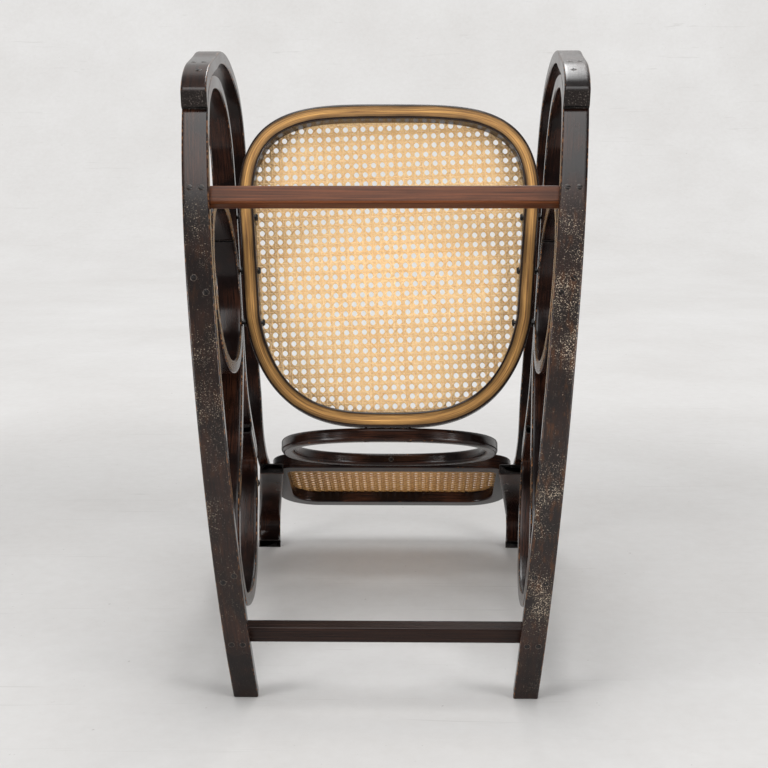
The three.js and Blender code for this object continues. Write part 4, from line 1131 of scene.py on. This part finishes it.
def screw(node):
    """A countersunk slotted screw where the frame has one. The node's long axis comes from its
    widest spread, and its head is the end that reaches farther from that axis. Its face is a
    shallow dome, a parabola with a slot pressed into it, its flank a cone, then a shank and a
    point."""
    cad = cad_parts[node].data
    corners = np.empty(len(cad.vertices) * 3)
    cad.vertices.foreach_get("co", corners)
    corners = np.unique(corners.reshape(-1, 3).round(6), axis=0)
    middle = (corners.min(axis=0) + corners.max(axis=0)) / 2
    axis = np.linalg.svd(corners - corners.mean(axis=0), full_matrices=False)[2][0]
    along = (corners - middle) @ axis
    away = np.linalg.norm(corners - middle - along[:, None] * axis, axis=1)
    if away[along > along.max() - 1e-4].max() < away[along < along.min() + 1e-4].max():
        axis, along = -axis, -along
    ends = corners[along > along.max() - 1e-4]
    head = ends.mean(axis=0) + axis * PROUD * MM
    length = along.max() - along.min()
    radius = np.linalg.norm(ends - ends.mean(axis=0), axis=1).max()
    # Any way that isn't the axis serves to find two ways square to it
    u = unit(np.cross(axis, [0.3, 0.5, 0.81]))
    v = np.cross(axis, u)
    share = FACE_SHARES[:, None]
    turn = np.linspace(0, 2 * np.pi, HEAD_SIDES, endpoint=False)
    slot = 1 - smoothstep(abs(share * np.cos(turn)), *SLOT_EDGE)
    top = radius * (HEAD_DOME * (1 - share**2) - SLOT_DEPTH * slot * (share < SLOT_END))
    # Radius and depth of the flank's top and foot, the shank's end and the point, as shares
    below = np.array([(0.97, 0.06), (0.48, 0.58), (0.48, length / radius - 0.6), (0.03, length / radius)])
    out = np.vstack([share, below[:, :1]]) * radius * np.ones(HEAD_SIDES)
    lift = np.vstack([top, -below[:, 1:] * radius * np.ones(HEAD_SIDES)])
    ring = np.cos(turn)[:, None] * u + np.sin(turn)[:, None] * v
    points = head + out[..., None] * ring[None] + lift[..., None] * axis
    # The face's two outermost rings and the top of the flank are chipped
    chipped = np.zeros(len(points))
    chipped[len(share) - 2 : len(share) + 1] = 1.0
    rows, girth = np.linspace(0, length, len(points) + 1), np.linspace(0, 2 * np.pi * radius, HEAD_SIDES + 1)
    piece = skin(f"{node}_turned", points, rows, girth, {"edge": chipped[:, None]}, STEEL)
    settle(piece, "dark_steel", node)


for side_name, side_sign in (("right", 1), ("left", -1)):
    side_pieces(side_name, side_sign)
middle_pieces()
stretcher("front_stretcher", STRETCHER_PLACES["front_stretcher"], FRONT_BAR)
stretcher("rear_stretcher", STRETCHER_PLACES["rear_stretcher"], REAR_BAR)
cane_pieces()
for node in sorted(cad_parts):
    if "screw" in node:
        screw(node)
    elif "bolt" in node:
        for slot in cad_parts[node].material_slots:
            slot.material = STEEL


# Stage: the photograph's floor, light and camera


# Two places that the floor touches, the rockers' rear tips and the posts' curls
FLOOR_FROM = np.array([530.0, 193.0])
FLOOR_TO = np.array([402.0, 884.0])
FLOOR_NEAR = 2600
FLOOR_FAR = 5200
FLOOR_HALF = 9000
BACKDROP_RADIUS = 2600
BACKDROP_HEIGHT = 9000

# Middle of the chair in the drawing, in metres, at which the lamps are aimed
CENTRE = np.array([0.0, 0.15, 0.45])
# Lamps: across, over the floor and towards the camera, in metres, then size, then power in watts
LAMPS = {
    "overhead_softbox": ((-0.1, 3.5, 1.15), (3.0, 2.0), 98),
    "rear_softbox": ((0.3, 3.0, -2.3), (2.2, 0.7), 32),
    "left_softbox": ((-2.6, 0.28, 2.1), (1.3, 1.3), 84),
    "right_softbox": ((2.6, 0.28, 2.1), (1.3, 1.3), 84),
}

# Camera in the drawing: its place in metres, the way it looks, and the way down in its picture
CAMERA_PLACE = (0.0372, 0.0999, -1.7692)
CAMERA_GAZE = (-0.0204, 0.0, 1.0)
CAMERA_DOWN = (0.002, 1.0, 0.0)
LENS = 67.27
SENSOR = 36.0

# The way from the chair to the camera, leaned back with it
TOWARDS_CAMERA = (0.0204, -math.sin(REST_LEAN), -math.cos(REST_LEAN))


def from_drawing(matrix):
    """Takes a placement from the drawing, in metres, to the chair at rest."""
    lean = Matrix.Rotation(-REST_LEAN, 4, "X")
    return Matrix.Translation(Vector(REST_SHIFT * MM)) @ lean @ matrix


def looking(place, forward, down):
    """A camera's or lamp's placement: it looks along its own -Z, and its Y is up in the picture."""
    back = -Vector(forward).normalized()
    right = (-Vector(down)).cross(back).normalized()
    up = back.cross(right)
    turn = Matrix((right, up, back)).transposed().to_4x4()
    return Matrix.Translation(Vector(place)) @ turn


def make_stage():
    """A broad floor that touches the rocker tails and the tops of the posts, drawn up into a wall
    far behind, as a seamless backdrop is: level, then a quarter turn, then upright."""
    level = unit(FLOOR_TO - FLOOR_FROM)
    up = np.array([-level[1], level[0]])
    turn = np.linspace(0, np.pi / 2, 25)
    bend = BACKDROP_RADIUS * np.stack([np.sin(turn), 1 - np.cos(turn)], axis=1) + [FLOOR_FAR, 0]
    wall = [FLOOR_FAR + BACKDROP_RADIUS, BACKDROP_HEIGHT]
    profile = np.vstack([[-FLOOR_NEAR, 0], [0, 0], bend, wall])
    plane = FLOOR_FROM + profile[:, :1] * level + profile[:, 1:] * up
    x = np.array([[-FLOOR_HALF, FLOOR_HALF]], float)
    points = placed(np.stack(np.broadcast_arrays(x, plane[:, :1], plane[:, 1:]), axis=-1))
    i = 2 * np.arange(len(plane) - 1)
    faces = np.stack([i, i + 1, i + 3, i + 2], axis=1)
    mesh = bpy.data.meshes.new("studio_floor")
    mesh.from_pydata(points.reshape(-1, 3).tolist(), [], faces.tolist())
    mesh.shade_smooth()
    piece_of("studio_floor", mesh, studio_floor())
    base, above = placed(np.array([[0.0, *FLOOR_FROM], [0.0, *(FLOOR_FROM + up)]]))
    if mesh.polygons[0].normal @ Vector(above - base) < 0:
        mesh.flip_normals()
    return level, up


def lamp(name, place, size, power):
    data = bpy.data.lights.new(name, "AREA")
    data.shape = "RECTANGLE"
    data.size, data.size_y = size
    data.energy = power
    light = bpy.data.objects.new(name, data)
    bpy.context.collection.objects.link(light)
    gaze = Vector(CENTRE) - Vector(place)
    light.matrix_world = from_drawing(looking(place, gaze, (1.0, 0.0, 0.01)))


def make_world():
    """A pale grey to the camera. What lights the chair is white, and dims towards the photographer's
    side, so that the dark lacquer there stays dark."""
    world = bpy.data.worlds.new("studio")
    bpy.context.scene.world = world
    world.use_nodes = True
    world.node_tree.nodes.clear()
    seen = add(world, "Background", colour("ebebeb"), 1.0)
    gaze = add(world, "TexCoord").outputs["Generated"]
    behind = add(world, "VectorMath", gaze, TOWARDS_CAMERA, operation="DOT_PRODUCT")
    dimmed = add(world, "MapRange", behind, -0.5, 0.5, 0.4, 0.1)
    felt = add(world, "Background", (1.0, 1.0, 1.0, 1.0), dimmed)
    to_camera = add(world, "LightPath").outputs["Is Camera Ray"]
    add(world, "OutputWorld", add(world, "MixShader", to_camera, felt, seen))


def make_camera():
    data = bpy.data.cameras.new("camera")
    data.lens = LENS
    data.sensor_width = SENSOR
    camera = bpy.data.objects.new("camera", data)
    bpy.context.collection.objects.link(camera)
    camera.matrix_world = from_drawing(looking(CAMERA_PLACE, CAMERA_GAZE, CAMERA_DOWN))
    bpy.context.scene.camera = camera


level, up = make_stage()
for name, ((across, high, near), size, power) in LAMPS.items():
    lamp(name, tuple(CENTRE + [across, *(up * high - level * near)]), size, power)
make_world()
make_camera()

bpy.context.scene.view_settings.view_transform = "Standard"
